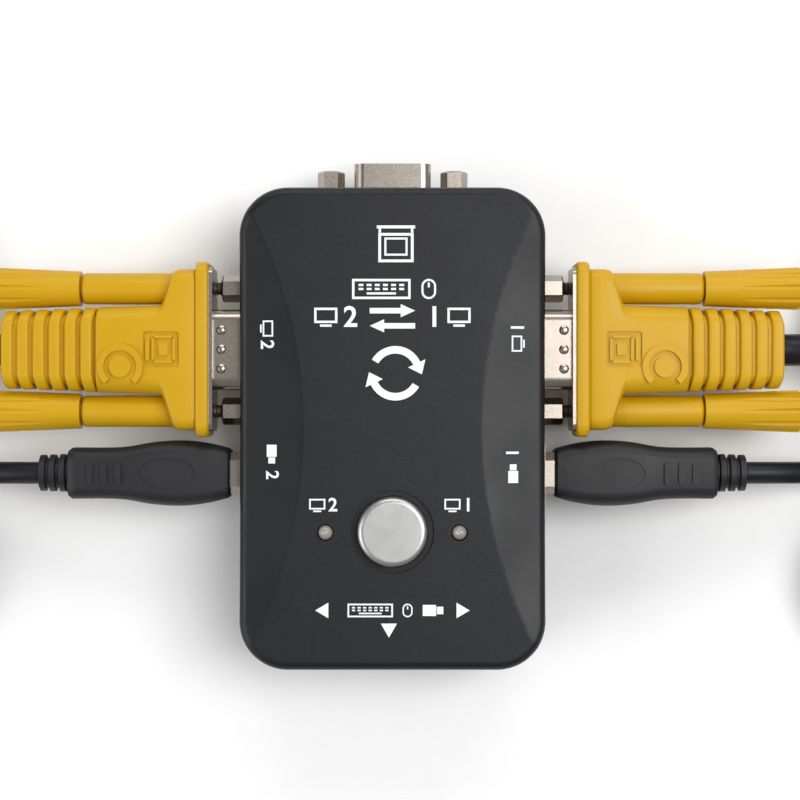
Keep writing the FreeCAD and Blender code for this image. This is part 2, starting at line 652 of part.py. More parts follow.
def usb_b_socket(label, wall):
    port(wall, "usb_b_y", USB_B_AXIS, "usb_b_width", "usb_b_height")
    start = "(usb_rim - usb_b_depth)"
    outer = centred_box(start, "usb_rim", "usb_b_width", "usb_b_height")
    inner = centred_box(f"{start} - 1", "usb_rim + 1", "(usb_b_width - 2 * usb_metal)",
                        "(usb_b_height - 2 * usb_metal)")
    shell = named(on_wall(cut(outer, [inner]), wall, "usb_b_y", USB_B_AXIS), f"usb_b_shell_{label}")
    filling = centred_box(start, "usb_rim - 0.4", "(usb_b_width - 2 * usb_metal)",
                          "(usb_b_height - 2 * usb_metal)")
    mouth_back = "(usb_rim - usb_b_mouth_depth)"
    mouth = chamfered_prism("usb_b_mouth_width", "usb_b_mouth_height", "usb_b_mouth_chamfer",
                            mouth_back, "usb_rim + 1")
    tongue = centred_box(f"{mouth_back} - 0.5", "usb_rim - usb_b_tongue_sunk",
                         "usb_b_tongue_width", "usb_b_tongue_height")
    housing = fuse([cut(filling, [mouth]), tongue])
    return [shell, named(on_wall(housing, wall, "usb_b_y", USB_B_AXIS), f"usb_b_housing_{label}")]


def usb_a_socket(label, wall, along):
    port(wall, along, USB_A_AXIS, "usb_a_width", "usb_a_height")
    start = "(usb_rim - usb_a_depth)"
    outer = centred_box(start, "usb_rim", "usb_a_width", "usb_a_height")
    inner = centred_box(f"{start} - 1", "usb_rim + 1", "(usb_a_width - 2 * usb_metal)",
                        "(usb_a_height - 2 * usb_metal)")
    shell = named(on_wall(cut(outer, [inner]), wall, along, USB_A_AXIS), f"usb_a_shell_{label}")
    back = centred_box(start, f"{start} + usb_a_back", "(usb_a_width - 2 * usb_metal)",
                       "(usb_a_height - 2 * usb_metal)")
    tongue = centred_box(f"{start} + 1", "usb_rim - usb_a_tongue_sunk", "usb_a_tongue_width",
                         "usb_a_tongue_height", z="usb_a_tongue_lift")
    housing = named(on_wall(fuse([back, tongue]), wall, along, USB_A_AXIS), f"usb_a_tongue_{label}")
    contacts = [box(f"{start} + usb_a_back", "usb_rim - usb_a_tongue_sunk - 0.8",
                    f"({place}) * contact_pitch - contact_width / 2",
                    f"({place}) * contact_pitch + contact_width / 2",
                    "usb_a_tongue_lift - usb_a_tongue_height / 2 - contact_height",
                    "usb_a_tongue_lift - usb_a_tongue_height / 2")
                for place in (-1.4, -0.45, 0.45, 1.4)]
    return [shell, housing], [on_wall(group(contacts), wall, along, USB_A_AXIS)]


# ---- plugs: a local +X points away from the case, from 0 at the case wall

def thumbscrew(y):
    """A 4-40 screw with its threaded tip, plain shank and fluted grip."""
    body = new_body()
    tip, core = "thumb_tip", "(thumb_thread / 2 - thumb_thread_depth)"
    points = [(tip, 0)]
    for turn in range(int(size("thumb_thread_turns"))):
        start = f"({tip} + {turn} * thumb_thread_pitch)"
        points.append((start, core))
        points.append((f"{start} + thumb_thread_pitch / 2", "thumb_thread / 2"))
    end = f"({tip} + thumb_thread_turns * thumb_thread_pitch)"
    points += [(end, core), (end, "thumb_shank / 2"), ("sleeve_end", "thumb_shank / 2"),
               ("sleeve_end", "thumb_collar / 2"), ("thumb_start + 0.5", "thumb_collar / 2"),
               ("thumb_start + 0.5", 0)]
    sketch = outline(body, "XY_Plane", "0", points)
    turned = body.newObject("PartDesign::Revolution", "Revolution")
    turned.Profile = sketch
    turned.ReferenceAxis = (sketch, ["H_Axis"])
    turned.Angle = 360
    doc.recompute()
    end = "(thumb_start + thumb_length)"
    grip = cone("thumb_diameter", "thumb_end_diameter", "thumb_start", end)
    flutes = int(size("thumb_flutes"))
    grooves = [box(f"{end} - thumb_slot_depth", f"{end} + 1", "-thumb_end_diameter",
                   "thumb_end_diameter", "-thumb_slot / 2", "thumb_slot / 2")]
    for flute in range(flutes):
        angle = radians(360 * (flute + 0.5) / flutes)
        grooves.append(cone("thumb_flute", "thumb_flute", "thumb_start + 3", f"{end} + 1",
                            f"{cos(angle):.5f} * (thumb_end_diameter / 2 + 0.1)",
                            f"{sin(angle):.5f} * (thumb_end_diameter / 2 + 0.1)"))
    screw = fuse([body, cut(grip, grooves)])
    return put(group([screw]), 0, y, 0)


def hood(front):
    """The moulded hood, along the local X axis, with its ribbed strain relief.

    The ring on it is open towards the front of the case, which is -Y or, turned round, +Y.
    """
    edges = round_block("hood_flange_width", "hood_flange_height", "hood_corner", PLATE_END,
                        HOOD_FLANGE_END)
    body = new_body()
    start = f"({HOOD_FLANGE_END} - 0.5)"
    sides = [("hood_block_end", "hood_block_width / 2"), ("hood_taper_end", "hood_neck_width / 2"),
             ("hood_neck_end", "relief_width / 2")]
    points = [(start, "-hood_block_width / 2")] + [(x, f"-{y}") for x, y in sides]
    points += list(reversed(sides)) + [(start, "hood_block_width / 2")]
    sketch = outline(body, "XY_Plane", "0", points)
    block = pad(body, sketch, "hood_height", midplane=True)
    half = size("hood_height / 2")

    def long_rim(edge):
        level = abs(abs(edge.BoundBox.ZMin) - half) < 0.01 and edge.BoundBox.ZLength < 0.01
        return level and edge.BoundBox.XMax > size(start) + 0.01
    round_edges(body, block, "hood_round", long_rim)
    pieces = [edges, body]
    ribs = int(size("relief_ribs"))
    pitch = f"((relief_end - hood_neck_end) / {ribs})"
    for rib in range(ribs):
        x0 = f"(hood_neck_end + {rib} * {pitch})"
        narrowing = f"((relief_width - relief_end_width) * {rib + 1} / {ribs})"
        pieces.append(round_block(f"(relief_width - {narrowing})", "relief_height",
                                  "relief_round", f"{x0} + relief_groove", f"{x0} + {pitch}"))
    core = round_block("(relief_end_width - 2 * relief_groove_depth)",
                       "(relief_height - 2 * relief_groove_depth)", "relief_round - 0.5",
                       "hood_neck_end - 1", "relief_end - 0.3")
    pieces.append(core)
    for side in (1, -1):
        pieces.append(rod("sleeve_diameter", "hood_block_end - 1", "sleeve_end",
                          f"{side} * {JACK_OFFSET}"))
    bores = [rod("sleeve_bore", f"{PLATE_END} - 1", "sleeve_end + 1", f"{side} * {JACK_OFFSET}")
             for side in (1, -1)]
    top = "hood_height / 2"
    recess = box("badge_start", "badge_start + badge_size", "-badge_size / 2", "badge_size / 2",
                 f"{top} - badge_depth", f"{top} + 1")
    screen = [box("badge_start + 1.2", "badge_start + badge_size - 2.6", "-badge_size / 2 + 1",
                  "badge_size / 2 - 1", f"{top} - badge_depth - 0.1", top),
              box("badge_start + badge_size - 2", "badge_start + badge_size - 1.2",
                  "-badge_size / 2 + 1.4", "badge_size / 2 - 1.4", f"{top} - badge_depth - 0.1",
                  top)]
    ring_y = f"({front} * ring_offset)"
    opening = sorted((front * 0.4, front * 3))
    ring = cut(post("ring_diameter", "ring_at", ring_y, f"{top} - 0.5", f"{top} + ring_height"),
               [post("ring_diameter - 2 * ring_line", "ring_at", ring_y, f"{top} - 1", f"{top} + 1"),
                box("ring_at - ring_diameter", "ring_at + ring_diameter",
                    f"{ring_y} + {opening[0]} * ring_diameter / 2",
                    f"{ring_y} + {opening[1]} * ring_diameter / 2", f"{top} - 1", f"{top} + 1")])
    dot = post("ring_dot", "ring_at", ring_y, f"{top} - 0.5", f"{top} + ring_height")
    return fuse([cut(fuse(pieces), bores + [recess]), ring, dot] + screen)


def plug_shell():
    mouth, end = "plug_mouth", PLATE_END
    width = "(vga_shell_width + 2 * plug_gap)"
    height = "(vga_shell_height + 2 * plug_gap)"
    inner = d_prism(width, height, "vga_shell_corner + plug_gap", f"{mouth} - 1", "plate_start")
    outer = d_prism(f"({width} + 2 * vga_metal)", f"({height} + 2 * vga_metal)",
                    "vga_shell_corner + plug_gap + vga_metal", mouth, end)
    plate = round_block("plate_width", "plate_height", 1.5, "plate_start", end)
    holes = [rod("sleeve_bore", "plate_start - 1", f"{end} + 1", f"{side} * {JACK_OFFSET}")
             for side in (1, -1)]
    return cut(fuse([outer, plate]), [inner] + holes)


def plug_pins():
    return group([rod("pin_diameter", "plug_mouth + 0.5", "plate_start", y, z)
                  for y, z in pole_places()])


def usb_b_plug():
    """The shell of the square USB plug and its waisted moulded body."""
    outer = chamfered_prism("plug_b_width", "plug_b_height", "plug_b_chamfer", "-plug_b_insert",
                            "plug_b_start")
    inner = chamfered_prism("(plug_b_width - 2 * plug_b_metal)",
                            "(plug_b_height - 2 * plug_b_metal)", "plug_b_chamfer - 0.15",
                            "-plug_b_insert - 1", "plug_b_start - 1")
    shell = cut(outer, [inner])
    body = new_body()
    sides = [("plug_b_start", "plug_b_front / 2"), ("plug_b_start + 4", "plug_b_front / 2 + 0.9"),
             ("plug_b_belly_at - 3", "plug_b_belly / 2 - 0.1"),
             ("plug_b_belly_at + 2", "plug_b_belly / 2"), ("plug_b_belly_at + 8", "plug_b_waist / 2 + 0.5"),
             ("plug_b_waist_at", "plug_b_waist / 2"), (PLUG_B_END, "plug_b_waist / 2 + 0.05")]
    points = [(x, f"-({y})") for x, y in sides] + list(reversed(sides))
    sketch = outline(body, "XY_Plane", "0", points)
    block = pad(body, sketch, "plug_b_thickness", midplane=True)
    softened = round_edges(body, block, 6, lambda edge: upright(edge) and
                           size("plug_b_start") + 1 < edge.CenterOfMass.x < size(PLUG_B_END) - 1)
    half = size("plug_b_thickness / 2")
    round_edges(body, softened, "plug_b_round", lambda edge: edge.BoundBox.ZLength < 0.01
                and abs(abs(edge.BoundBox.ZMin) - half) < 0.01)
    tail = rod("usb_relief_core", f"{PLUG_B_END} - 1", f"{PLUG_B_END} + usb_relief_length")
    rings = [rod("usb_relief", f"{PLUG_B_END} + {ring} * usb_relief_length / 3 + usb_relief_slot",
                 f"{PLUG_B_END} + {ring + 1} * usb_relief_length / 3") for ring in range(3)]
    ridges = [box(f"plug_b_waist_at + {place} * ridge_pitch - ridge_width / 2",
                  f"plug_b_waist_at + {place} * ridge_pitch + ridge_width / 2", "-ridge_length / 2",
                  "ridge_length / 2", "plug_b_thickness / 2 - 0.5",
                  "plug_b_thickness / 2 + ridge_height") for place in (-0.65, 0.35, 1.35)]
    return shell, fuse([body, tail] + rings + ridges)


def usb_a_plug():
    """The flat USB plug at the far end: its shell, filling, body and relief."""
    outer = centred_box("0", "plug_a_insert", "plug_a_width", "plug_a_height")
    inner = centred_box("-1", "plug_a_insert - 2", "(plug_a_width - 2 * plug_a_metal)",
                        "(plug_a_height - 2 * plug_a_metal)")
    filling = box("0.6", "plug_a_insert - 2", "-plug_a_width / 2 + plug_a_metal",
                  "plug_a_width / 2 - plug_a_metal", "-plug_a_height / 2 + plug_a_metal",
                  "-plug_a_height / 2 + plug_a_metal + plug_a_filling")
    end = "(plug_a_insert + plug_a_body_length)"
    body = round_block("plug_a_body_width", "plug_a_body_height", 2, "plug_a_insert", end)
    relief = rod("usb_relief", f"{end} - 1", f"{end} + usb_relief_length")
    return group([cut(outer, [inner]), filling, fuse([body, relief])])


# ---- leads

def tube_path(points):
    """Straight runs joined by arcs as large as the shorter run beside each turn allows."""
    edges, start = [], points[0]
    for before, corner, after in zip(points, points[1:], points[2:]):
        back, ahead = before - corner, after - corner
        turn = pi - back.getAngle(ahead)
        trim = 0.45 * min(back.Length, ahead.Length)
        radius = trim / tan(turn / 2)
        print(f"  arc radius {radius:.1f}")
        back.normalize()
        ahead.normalize()
        into, out = corner + back * trim, corner + ahead * trim
        middle_line = (back + ahead).normalize()
        centre = corner + middle_line * (radius / cos(turn / 2))
        middle = centre - middle_line * radius
        edges.append(Part.LineSegment(start, into).toShape())
        edges.append(Part.Arc(into, middle, out).toShape())
        start = out
    edges.append(Part.LineSegment(start, points[-1]).toShape())
    return Part.Wire(edges)


def cord_tube(label, side, points, diameter):
    """The free stretch of a lead, for one side of the case."""
    places = [FreeCAD.Vector(side * size(x), size(y), size(z)) for x, y, z in points]
    path = tube_path(places)
    heading = places[1] - places[0]
    ring = Part.Wire([Part.makeCircle(size(diameter) / 2, places[0], heading)])
    solid = path.makePipeShell([ring], True, False)
    expected = pi * size(diameter) ** 2 / 4 * path.Length
    print(f"{label}: length {path.Length:.1f}, volume {solid.Volume / expected:.4f} of expected")
    item = doc.addObject("Part::Feature", "Tube")
    item.Shape = solid
    return named(item, label)


def slab(x, y, straight, radius, z0, z1):
    """A long slab with round ends, along X."""
    ends = [post(f"2 * ({radius})", f"{x} + {end} * {straight} / 2", y, z0, z1) for end in (1, -1)]
    middle = box(f"{x} - {straight} / 2", f"{x} + {straight} / 2", f"{y} - ({radius})",
                 f"{y} + ({radius})", z0, z1)
    return fuse(ends + [middle])


def coil(label, side, kind, x, y):
    """The closed long ring that a tied coil fills."""
    height = f"{kind}_coil_layers * {kind}_cord"
    half = f"{kind}_coil_columns * {kind}_cord / 2"
    radius, straight = f"{kind}_coil_radius", f"{kind}_coil_straight"
    outer = slab(f"{side} * {x}", y, straight, f"{radius} + {half}", "0", height)
    inner = slab(f"{side} * {x}", y, straight, f"{radius} - {half}", "-1", f"{height} + 1")
    return named(cut(outer, [inner]), label)


def coil_middle(start, kind):
    """The x of a coil's middle, beyond the place where its relief ends."""
    half = f"{kind}_coil_columns * {kind}_cord / 2 + {kind}_coil_straight / 2"
    return f"({start} + {kind}_coil_start + {kind}_coil_radius + {half})"


VGA_LEAD_START = "(case_width / 2 + relief_end)"
VGA_COIL_X = coil_middle(VGA_LEAD_START, "vga")
VGA_COIL_Y = "(vga_y + vga_coil_shift)"
VGA_COIL_TOP = "(vga_coil_layers * vga_cord)"
VGA_COIL_INSIDE = "(vga_coil_radius - vga_coil_columns * vga_cord / 2)"
USB_LEAD_START = f"(case_width / 2 + {PLUG_B_END} + usb_relief_length)"
USB_COIL_X = coil_middle(USB_LEAD_START, "usb")
USB_COIL_Y = "(usb_b_y - usb_coil_shift)"
USB_COIL_TOP = "(usb_coil_layers * usb_cord)"
# The USB far plug lies inside its coil, or on it where the coil is too narrow for that.
USB_COIL_ROOM = "(2 * usb_coil_radius - usb_coil_columns * usb_cord - plug_a_body_width)"
USB_FAR_PLUG_REST = f"({USB_COIL_ROOM} > 0 ? 0 : {USB_COIL_TOP})"


def monitor_lead_points():
    """Out of the relief, up over the near end of the coil and down inside it."""
    rise = f"{VGA_LEAD_START} + vga_lead_level"
    over = f"{rise} + vga_lead_rise"
    past = f"{VGA_COIL_X} - vga_coil_straight / 2 - {VGA_COIL_INSIDE} + vga_lead_past"
    floor = f"{past} + vga_lead_fall"
    high = f"{VGA_COIL_TOP} + vga_cord / 2 + 0.1"
    inside = f"{VGA_COIL_Y} - {VGA_COIL_INSIDE} + vga_cord / 2 - coil_touch"
    return [(VGA_LEAD_START, "vga_y", VGA_AXIS), (rise, "vga_y", VGA_AXIS), (over, "vga_y", high),
            (past, "vga_y", high), (floor, inside, "vga_cord / 2"),
            (f"{floor} + vga_lead_floor", inside, "vga_cord / 2")]


def usb_lead_points():
    """Out of the relief, down to the surface and along the outside of the coil."""
    outside = f"{USB_COIL_Y} + usb_coil_radius + usb_coil_columns * usb_cord / 2"
    beside = f"{outside} + usb_cord / 2 - coil_touch"
    level = f"{USB_LEAD_START} + usb_lead_level"
    floor = f"{level} + usb_lead_fall"
    return [(USB_LEAD_START, "usb_b_y", USB_B_AXIS), (level, "usb_b_y", USB_B_AXIS),
            (floor, beside, "usb_cord / 2"), (f"{floor} + usb_lead_floor", beside, "usb_cord / 2")]


def facing_out(item, side, x, y, z):
    """Put a far plug with its mouth away from the case."""
    return put(item, f"{side} * ({x})", y, z, FreeCAD.Rotation(Z_AXIS, 180 if side > 0 else 0))


def monitor_lead(label, wall, side):
    """One computer's monitor lead: near plug, free stretch, coil and far plug."""
    nodes = []
    for name, piece in (("vga_hood", hood(-side)), ("vga_plug_shell", plug_shell()),
                        ("vga_plug_pins", plug_pins())):
        nodes.append(named(on_wall(piece, wall, "vga_y", VGA_AXIS), f"{name}_{label}"))
    for name, end in (("thumbscrew_rear", 1), ("thumbscrew_front", -1)):
        screw = on_wall(thumbscrew(0), wall, f"vga_y + {end} * {JACK_OFFSET}", VGA_AXIS)
        nodes.append(named(screw, f"{name}_{label}"))
    nodes.append(cord_tube(f"vga_lead_{label}", side, monitor_lead_points(), "vga_cord"))
    nodes.append(coil(f"vga_coil_{label}", side, "vga", VGA_COIL_X, VGA_COIL_Y))
    pieces = [hood(side), plug_shell(), plug_pins()]
    pieces += [thumbscrew(f"{end} * {JACK_OFFSET}") for end in (1, -1)]
    far = facing_out(group(pieces), side, f"{VGA_COIL_X} + relief_end",
                     f"{VGA_COIL_Y} - vga_coil_radius + vga_cord / 2",
                     f"{VGA_COIL_TOP} + hood_flange_height / 2")
    nodes.append(named(far, f"vga_far_plug_{label}"))
    return nodes


def usb_lead(label, wall, side):
    """One computer's USB lead: near plug, free stretch, coil and the far plug inside it."""
    shell, body = usb_b_plug()
    nodes = [named(on_wall(shell, wall, "usb_b_y", USB_B_AXIS), f"usb_plug_shell_{label}"),
             named(on_wall(body, wall, "usb_b_y", USB_B_AXIS), f"usb_plug_body_{label}")]
    nodes.append(cord_tube(f"usb_lead_{label}", side, usb_lead_points(), "usb_cord"))
    nodes.append(coil(f"usb_coil_{label}", side, "usb", USB_COIL_X, USB_COIL_Y))
    reach = "plug_a_insert + plug_a_body_length + usb_relief_length"
    far = facing_out(usb_a_plug(), side, f"{USB_COIL_X} - usb_far_plug_start + {reach}",
                     USB_COIL_Y, f"{USB_FAR_PLUG_REST} + plug_a_body_height / 2")
    nodes.append(named(far, f"usb_far_plug_{label}"))
    return nodes


# ---- the whole

def build():
    nodes, jackscrews, contacts = [], [], []
    for label, wall, along in (("monitor", "rear", "0"), ("pc1", "right", "vga_y"),
                               ("pc2", "left", "vga_y")):
        nodes += monitor_socket(label, wall, along)
        jackscrews += [jackscrew(wall, along, side) for side in (1, -1)]
    for label, wall in (("pc1", "right"), ("pc2", "left")):
        nodes += usb_b_socket(label, wall)
    for label, wall, along in (("right", "right", "usb_a_side_y"), ("left", "left", "usb_a_side_y"),
                               ("front", "front", "0")):
        socket, strips = usb_a_socket(label, wall, along)
        nodes += socket
        contacts += strips
    nodes += [named(group(jackscrews), "jackscrews"), named(group(contacts), "usb_a_contacts")]
    nodes += [top_cover(), bottom_cover(), rubber_feet(), case_screws(), circuit_board()]
    nodes += board_parts()
    nodes += [button(), push_switch(), switch_plunger(), lamp("lamp_pc1", 1), lamp("lamp_pc2", -1)]
    for label, wall, side in (("pc1", "right", 1), ("pc2", "left", -1)):
        nodes += monitor_lead(label, wall, side)
        nodes += usb_lead(label, wall, side)
    return nodes


nodes = build()
doc.recompute()
faults = [item.Label for item in doc.Objects if {"Invalid", "Error"} & set(item.State)]
for node in nodes:
    if node.Shape.isNull() or not node.Shape.isValid() or node.Shape.Volume <= 0:
        faults.append(node.Label)
if faults:
    raise RuntimeError("These did not build: " + ", ".join(faults))
for node in nodes:
    node.Shape.exportStep(f"parts/{node.Label}.step")
print(len(nodes), "nodes")
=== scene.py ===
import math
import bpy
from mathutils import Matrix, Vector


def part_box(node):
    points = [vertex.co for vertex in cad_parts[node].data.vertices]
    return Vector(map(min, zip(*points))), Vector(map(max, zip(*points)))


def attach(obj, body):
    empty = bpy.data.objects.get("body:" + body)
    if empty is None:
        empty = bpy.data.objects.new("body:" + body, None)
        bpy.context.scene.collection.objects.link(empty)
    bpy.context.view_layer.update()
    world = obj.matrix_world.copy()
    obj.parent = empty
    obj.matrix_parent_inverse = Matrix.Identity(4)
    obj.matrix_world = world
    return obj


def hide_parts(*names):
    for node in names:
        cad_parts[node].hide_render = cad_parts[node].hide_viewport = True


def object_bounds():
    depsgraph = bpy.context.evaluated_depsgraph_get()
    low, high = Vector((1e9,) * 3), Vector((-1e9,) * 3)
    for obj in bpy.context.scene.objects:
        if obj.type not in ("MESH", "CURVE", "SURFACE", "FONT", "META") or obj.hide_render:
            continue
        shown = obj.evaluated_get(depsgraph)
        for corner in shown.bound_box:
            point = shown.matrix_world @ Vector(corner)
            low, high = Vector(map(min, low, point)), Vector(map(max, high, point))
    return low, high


bl_info = {
    "name": "Two-computer switch box",
    "version": (1, 0, 0),
    "blender": (4, 5, 0),
    "location": "View3D > Sidebar > Switch box",
    "description": "Finishes a pocket switch box with its plugged-in monitor and USB leads",
    "category": "Object",
}

import bmesh
import bpy
from mathutils import Matrix, Vector
from mathutils.bvhtree import BVHTree

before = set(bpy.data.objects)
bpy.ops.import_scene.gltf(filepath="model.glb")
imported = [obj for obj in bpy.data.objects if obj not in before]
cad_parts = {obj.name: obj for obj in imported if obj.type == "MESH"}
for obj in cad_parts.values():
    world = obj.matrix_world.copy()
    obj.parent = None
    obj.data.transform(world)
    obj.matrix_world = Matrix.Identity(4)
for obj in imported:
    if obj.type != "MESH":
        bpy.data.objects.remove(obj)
CAD_LOW, CAD_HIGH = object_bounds()
MM = 0.001
SIDES = (("pc1", 1), ("pc2", -1))

def centre_of(box):
    """The middle of a box given by its low and high corners."""
    return [(low + high) / 2 for low, high in zip(*box)]


# Places read from the frame, in metres.
COVER_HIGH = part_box("top_cover")[1]
CASE_HALF_WIDTH, CASE_TOP = COVER_HIGH.x, COVER_HIGH.z
CASE_Y = centre_of(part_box("top_cover"))[1]
_, VGA_Y, VGA_Z = centre_of(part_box("vga_hood_pc1"))
USB_Y = centre_of(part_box("usb_plug_body_pc1"))[1]
USB_Z = centre_of(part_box("usb_plug_shell_pc1"))[2]
# A seated monitor plug's shell ends this far from the case wall.
PLUG_MOUTH = 0.2 * MM


# ---- sizes and colours that a user would change

class BoxSettings(bpy.types.PropertyGroup):
    """Colours and printing of the box."""
    case_colour: bpy.props.StringProperty(
        name="Case", description="Colour of the moulded case", default="#141518")
    print_colour: bpy.props.StringProperty(
        name="Print", description="Colour of the pad-printed symbols", default="#E9EBEE")
    button_colour: bpy.props.StringProperty(
        name="Button", description="Colour of the button's metallic paint", default="#B9B9B6")
    print_lift: bpy.props.FloatProperty(
        name="Ink thickness", description="How far the ink stands on the case",
        default=0.00003, subtype="DISTANCE", unit="LENGTH")


class LeadSettings(bpy.types.PropertyGroup):
    """Sizes and colours of the leads."""
    hood_colour: bpy.props.StringProperty(
        name="Hood", description="Colour of the monitor plugs", default="#C4980A")
    plug_colour: bpy.props.StringProperty(
        name="USB plug", description="Colour of the USB plugs", default="#1B1B1E")
    cord_colour: bpy.props.StringProperty(
        name="Cord", description="Colour of the cords' jacket", default="#12141C")
    vga_cord: bpy.props.FloatProperty(
        name="Monitor cord", description="Diameter of the monitor cord", default=0.0065,
        subtype="DISTANCE", unit="LENGTH")
    usb_cord: bpy.props.FloatProperty(
        name="USB cord", description="Diameter of the USB cord", default=0.0045,
        subtype="DISTANCE", unit="LENGTH")
    lead_length: bpy.props.FloatProperty(
        name="Lead length", description="Length of each lead's cord", default=1.2,
        subtype="DISTANCE", unit="LENGTH")


class StageSettings(bpy.types.PropertyGroup):
    """Camera, floor and lights."""
    camera_height: bpy.props.FloatProperty(
        name="Camera distance", description="From the connectors' level up to the camera",
        default=0.4, subtype="DISTANCE", unit="LENGTH")
    view_width: bpy.props.FloatProperty(
        name="View width", description="Width that the camera sees at the connectors' level",
        default=0.1633, subtype="DISTANCE", unit="LENGTH")
    aim_x: bpy.props.FloatProperty(
        name="Aim X", description="Where the camera points, across the case", default=0.0015,
        subtype="DISTANCE", unit="LENGTH")
    aim_y: bpy.props.FloatProperty(
        name="Aim Y", description="Where the camera points, along the case",
        default=CASE_Y + 0.0057, subtype="DISTANCE", unit="LENGTH")


# ---- materials

def linear(colour):
    """An sRGB hex colour as linear red, green, blue and alpha."""
    channels = [int(colour[place:place + 2], 16) / 255 for place in (1, 3, 5)]
    return [c / 12.92 if c <= 0.04045 else ((c + 0.055) / 1.055) ** 2.4 for c in channels] + [1.0]


def new_material(name):
    material = bpy.data.materials.new(name)
    material.use_nodes = True
    return material, material.node_tree, material.node_tree.nodes["Principled BSDF"]


def add_node(tree, kind, settings=None, links=None):
    """Add a node, set its properties or input values, and link its inputs."""
    node = tree.nodes.new(kind)
    for key, value in (settings or {}).items():
        if isinstance(key, int) or key in node.inputs:
            node.inputs[key].default_value = value
        else:
            setattr(node, key, value)
    for key, socket in (links or {}).items():
        tree.links.new(socket, node.inputs[key])
    return node


def shade(colour, factor):
    """A linear colour made darker or lighter."""
    return [min(1.0, c * factor) for c in colour[:3]] + [1.0]


PLASTIC_IOR = 1.5
CLOUD = 14 * MM


def moulded_plastic(name, colour, grain, depth, rough_low, rough_high, mottle=0.12, spark=0.0,
                    gloss=0.5):
    """A moulded plastic: an even body colour with a fine etched grain from its mould.

    Spark is the strength of painted glints: bright specks painted into the colour where the grain
    peaks, in place of the sparkle of light on the surface. Gloss is the level of the reflection.
    """
    material, tree, shader = new_material(name)
    base = linear(colour)
    place = add_node(tree, "ShaderNodeTexCoord").outputs["Object"]
    grains = add_node(tree, "ShaderNodeTexNoise",
                      {"Scale": 1 / grain, "Detail": 3.0, "Roughness": 0.6},
                      {"Vector": place}).outputs["Fac"]
    clouds = add_node(tree, "ShaderNodeTexNoise", {"Scale": 1 / CLOUD, "Detail": 2.0},
                      {"Vector": place}).outputs["Fac"]
    tint = add_node(tree, "ShaderNodeMix",
                    {"data_type": "RGBA", 6: shade(base, 1 - mottle), 7: shade(base, 1 + mottle)},
                    {0: clouds}).outputs[2]
    # Painted glints: where the grain peaks, the colour is mixed towards four times its brightness,
    # standing in for sparkle of light on the surface.
    if spark:
        painted_glints = add_node(tree, "ShaderNodeMapRange",
                        {"From Min": 0.6, "From Max": 0.72, "To Max": spark},
                        {"Value": grains}).outputs["Result"]
        tint = add_node(tree, "ShaderNodeMix", {"data_type": "RGBA", 7: shade(base, 4.0)},
                        {0: painted_glints, 6: tint}).outputs[2]
    sheen = add_node(tree, "ShaderNodeMapRange",
                     {"From Min": 0.3, "From Max": 0.7, "To Min": rough_low, "To Max": rough_high},
                     {"Value": clouds}).outputs["Result"]
    relief = add_node(tree, "ShaderNodeBump", {"Distance": depth}, {"Height": grains})
    tree.links.new(tint, shader.inputs["Base Color"])
    tree.links.new(sheen, shader.inputs["Roughness"])
    tree.links.new(relief.outputs["Normal"], shader.inputs["Normal"])
    shader.inputs["IOR"].default_value = PLASTIC_IOR
    shader.inputs["Specular IOR Level"].default_value = gloss
    return material


def metal(name, colour, roughness, grain, depth, stretch=(1, 1, 1)):
    """A plated or painted metal finish with fine marks, drawn out along one direction."""
    material, tree, shader = new_material(name)
    base = linear(colour)
    place = add_node(tree, "ShaderNodeTexCoord").outputs["Object"]
    drawn = add_node(tree, "ShaderNodeMapping", {"Scale": stretch}, {"Vector": place})
    marks = add_node(tree, "ShaderNodeTexNoise",
                     {"Scale": 1 / grain, "Detail": 4.0, "Roughness": 0.65},
                     {"Vector": drawn.outputs["Vector"]}).outputs["Fac"]
    clouds = add_node(tree, "ShaderNodeTexNoise", {"Scale": 1 / (3 * MM), "Detail": 2.0},
                      {"Vector": place}).outputs["Fac"]
    tint = add_node(tree, "ShaderNodeMix",
                    {"data_type": "RGBA", 6: shade(base, 0.82), 7: shade(base, 1.1)}, {0: clouds})
    polish = add_node(tree, "ShaderNodeMapRange",
                      {"From Min": 0.3, "From Max": 0.7, "To Min": roughness * 0.8,
                       "To Max": roughness * 1.25}, {"Value": marks})
    relief = add_node(tree, "ShaderNodeBump", {"Distance": depth}, {"Height": marks})
    tree.links.new(tint.outputs[2], shader.inputs["Base Color"])
    tree.links.new(polish.outputs["Result"], shader.inputs["Roughness"])
    tree.links.new(relief.outputs["Normal"], shader.inputs["Normal"])
    shader.inputs["Metallic"].default_value = 1.0
    return material


def screw_and_handle(name, colour, change, side):
    """Moulded plastic beyond a distance from the middle, and plated steel before it."""
    material = moulded_plastic(name, colour, 0.9 * MM, 0.02 * MM, 0.36, 0.46, 0.05, gloss=0.3)
    tree = material.node_tree
    shader = tree.nodes["Principled BSDF"]
    place = add_node(tree, "ShaderNodeTexCoord").outputs["Object"]
    across = add_node(tree, "ShaderNodeSeparateXYZ", None, {"Vector": place}).outputs["X"]
    away = add_node(tree, "ShaderNodeMath", {"operation": "ABSOLUTE"}, {0: across})
    kind = "LESS_THAN" if side > 0 else "GREATER_THAN"
    steel = add_node(tree, "ShaderNodeMath", {"operation": kind, 1: change},
                     {0: away.outputs["Value"]}).outputs["Value"]
    body = shader.inputs["Base Color"].links[0].from_socket
    tint = add_node(tree, "ShaderNodeMix", {"data_type": "RGBA", 7: linear("#8F877D")},
                    {0: steel, 6: body})
    tree.links.new(tint.outputs[2], shader.inputs["Base Color"])
    tree.links.new(steel, shader.inputs["Metallic"])
    return material


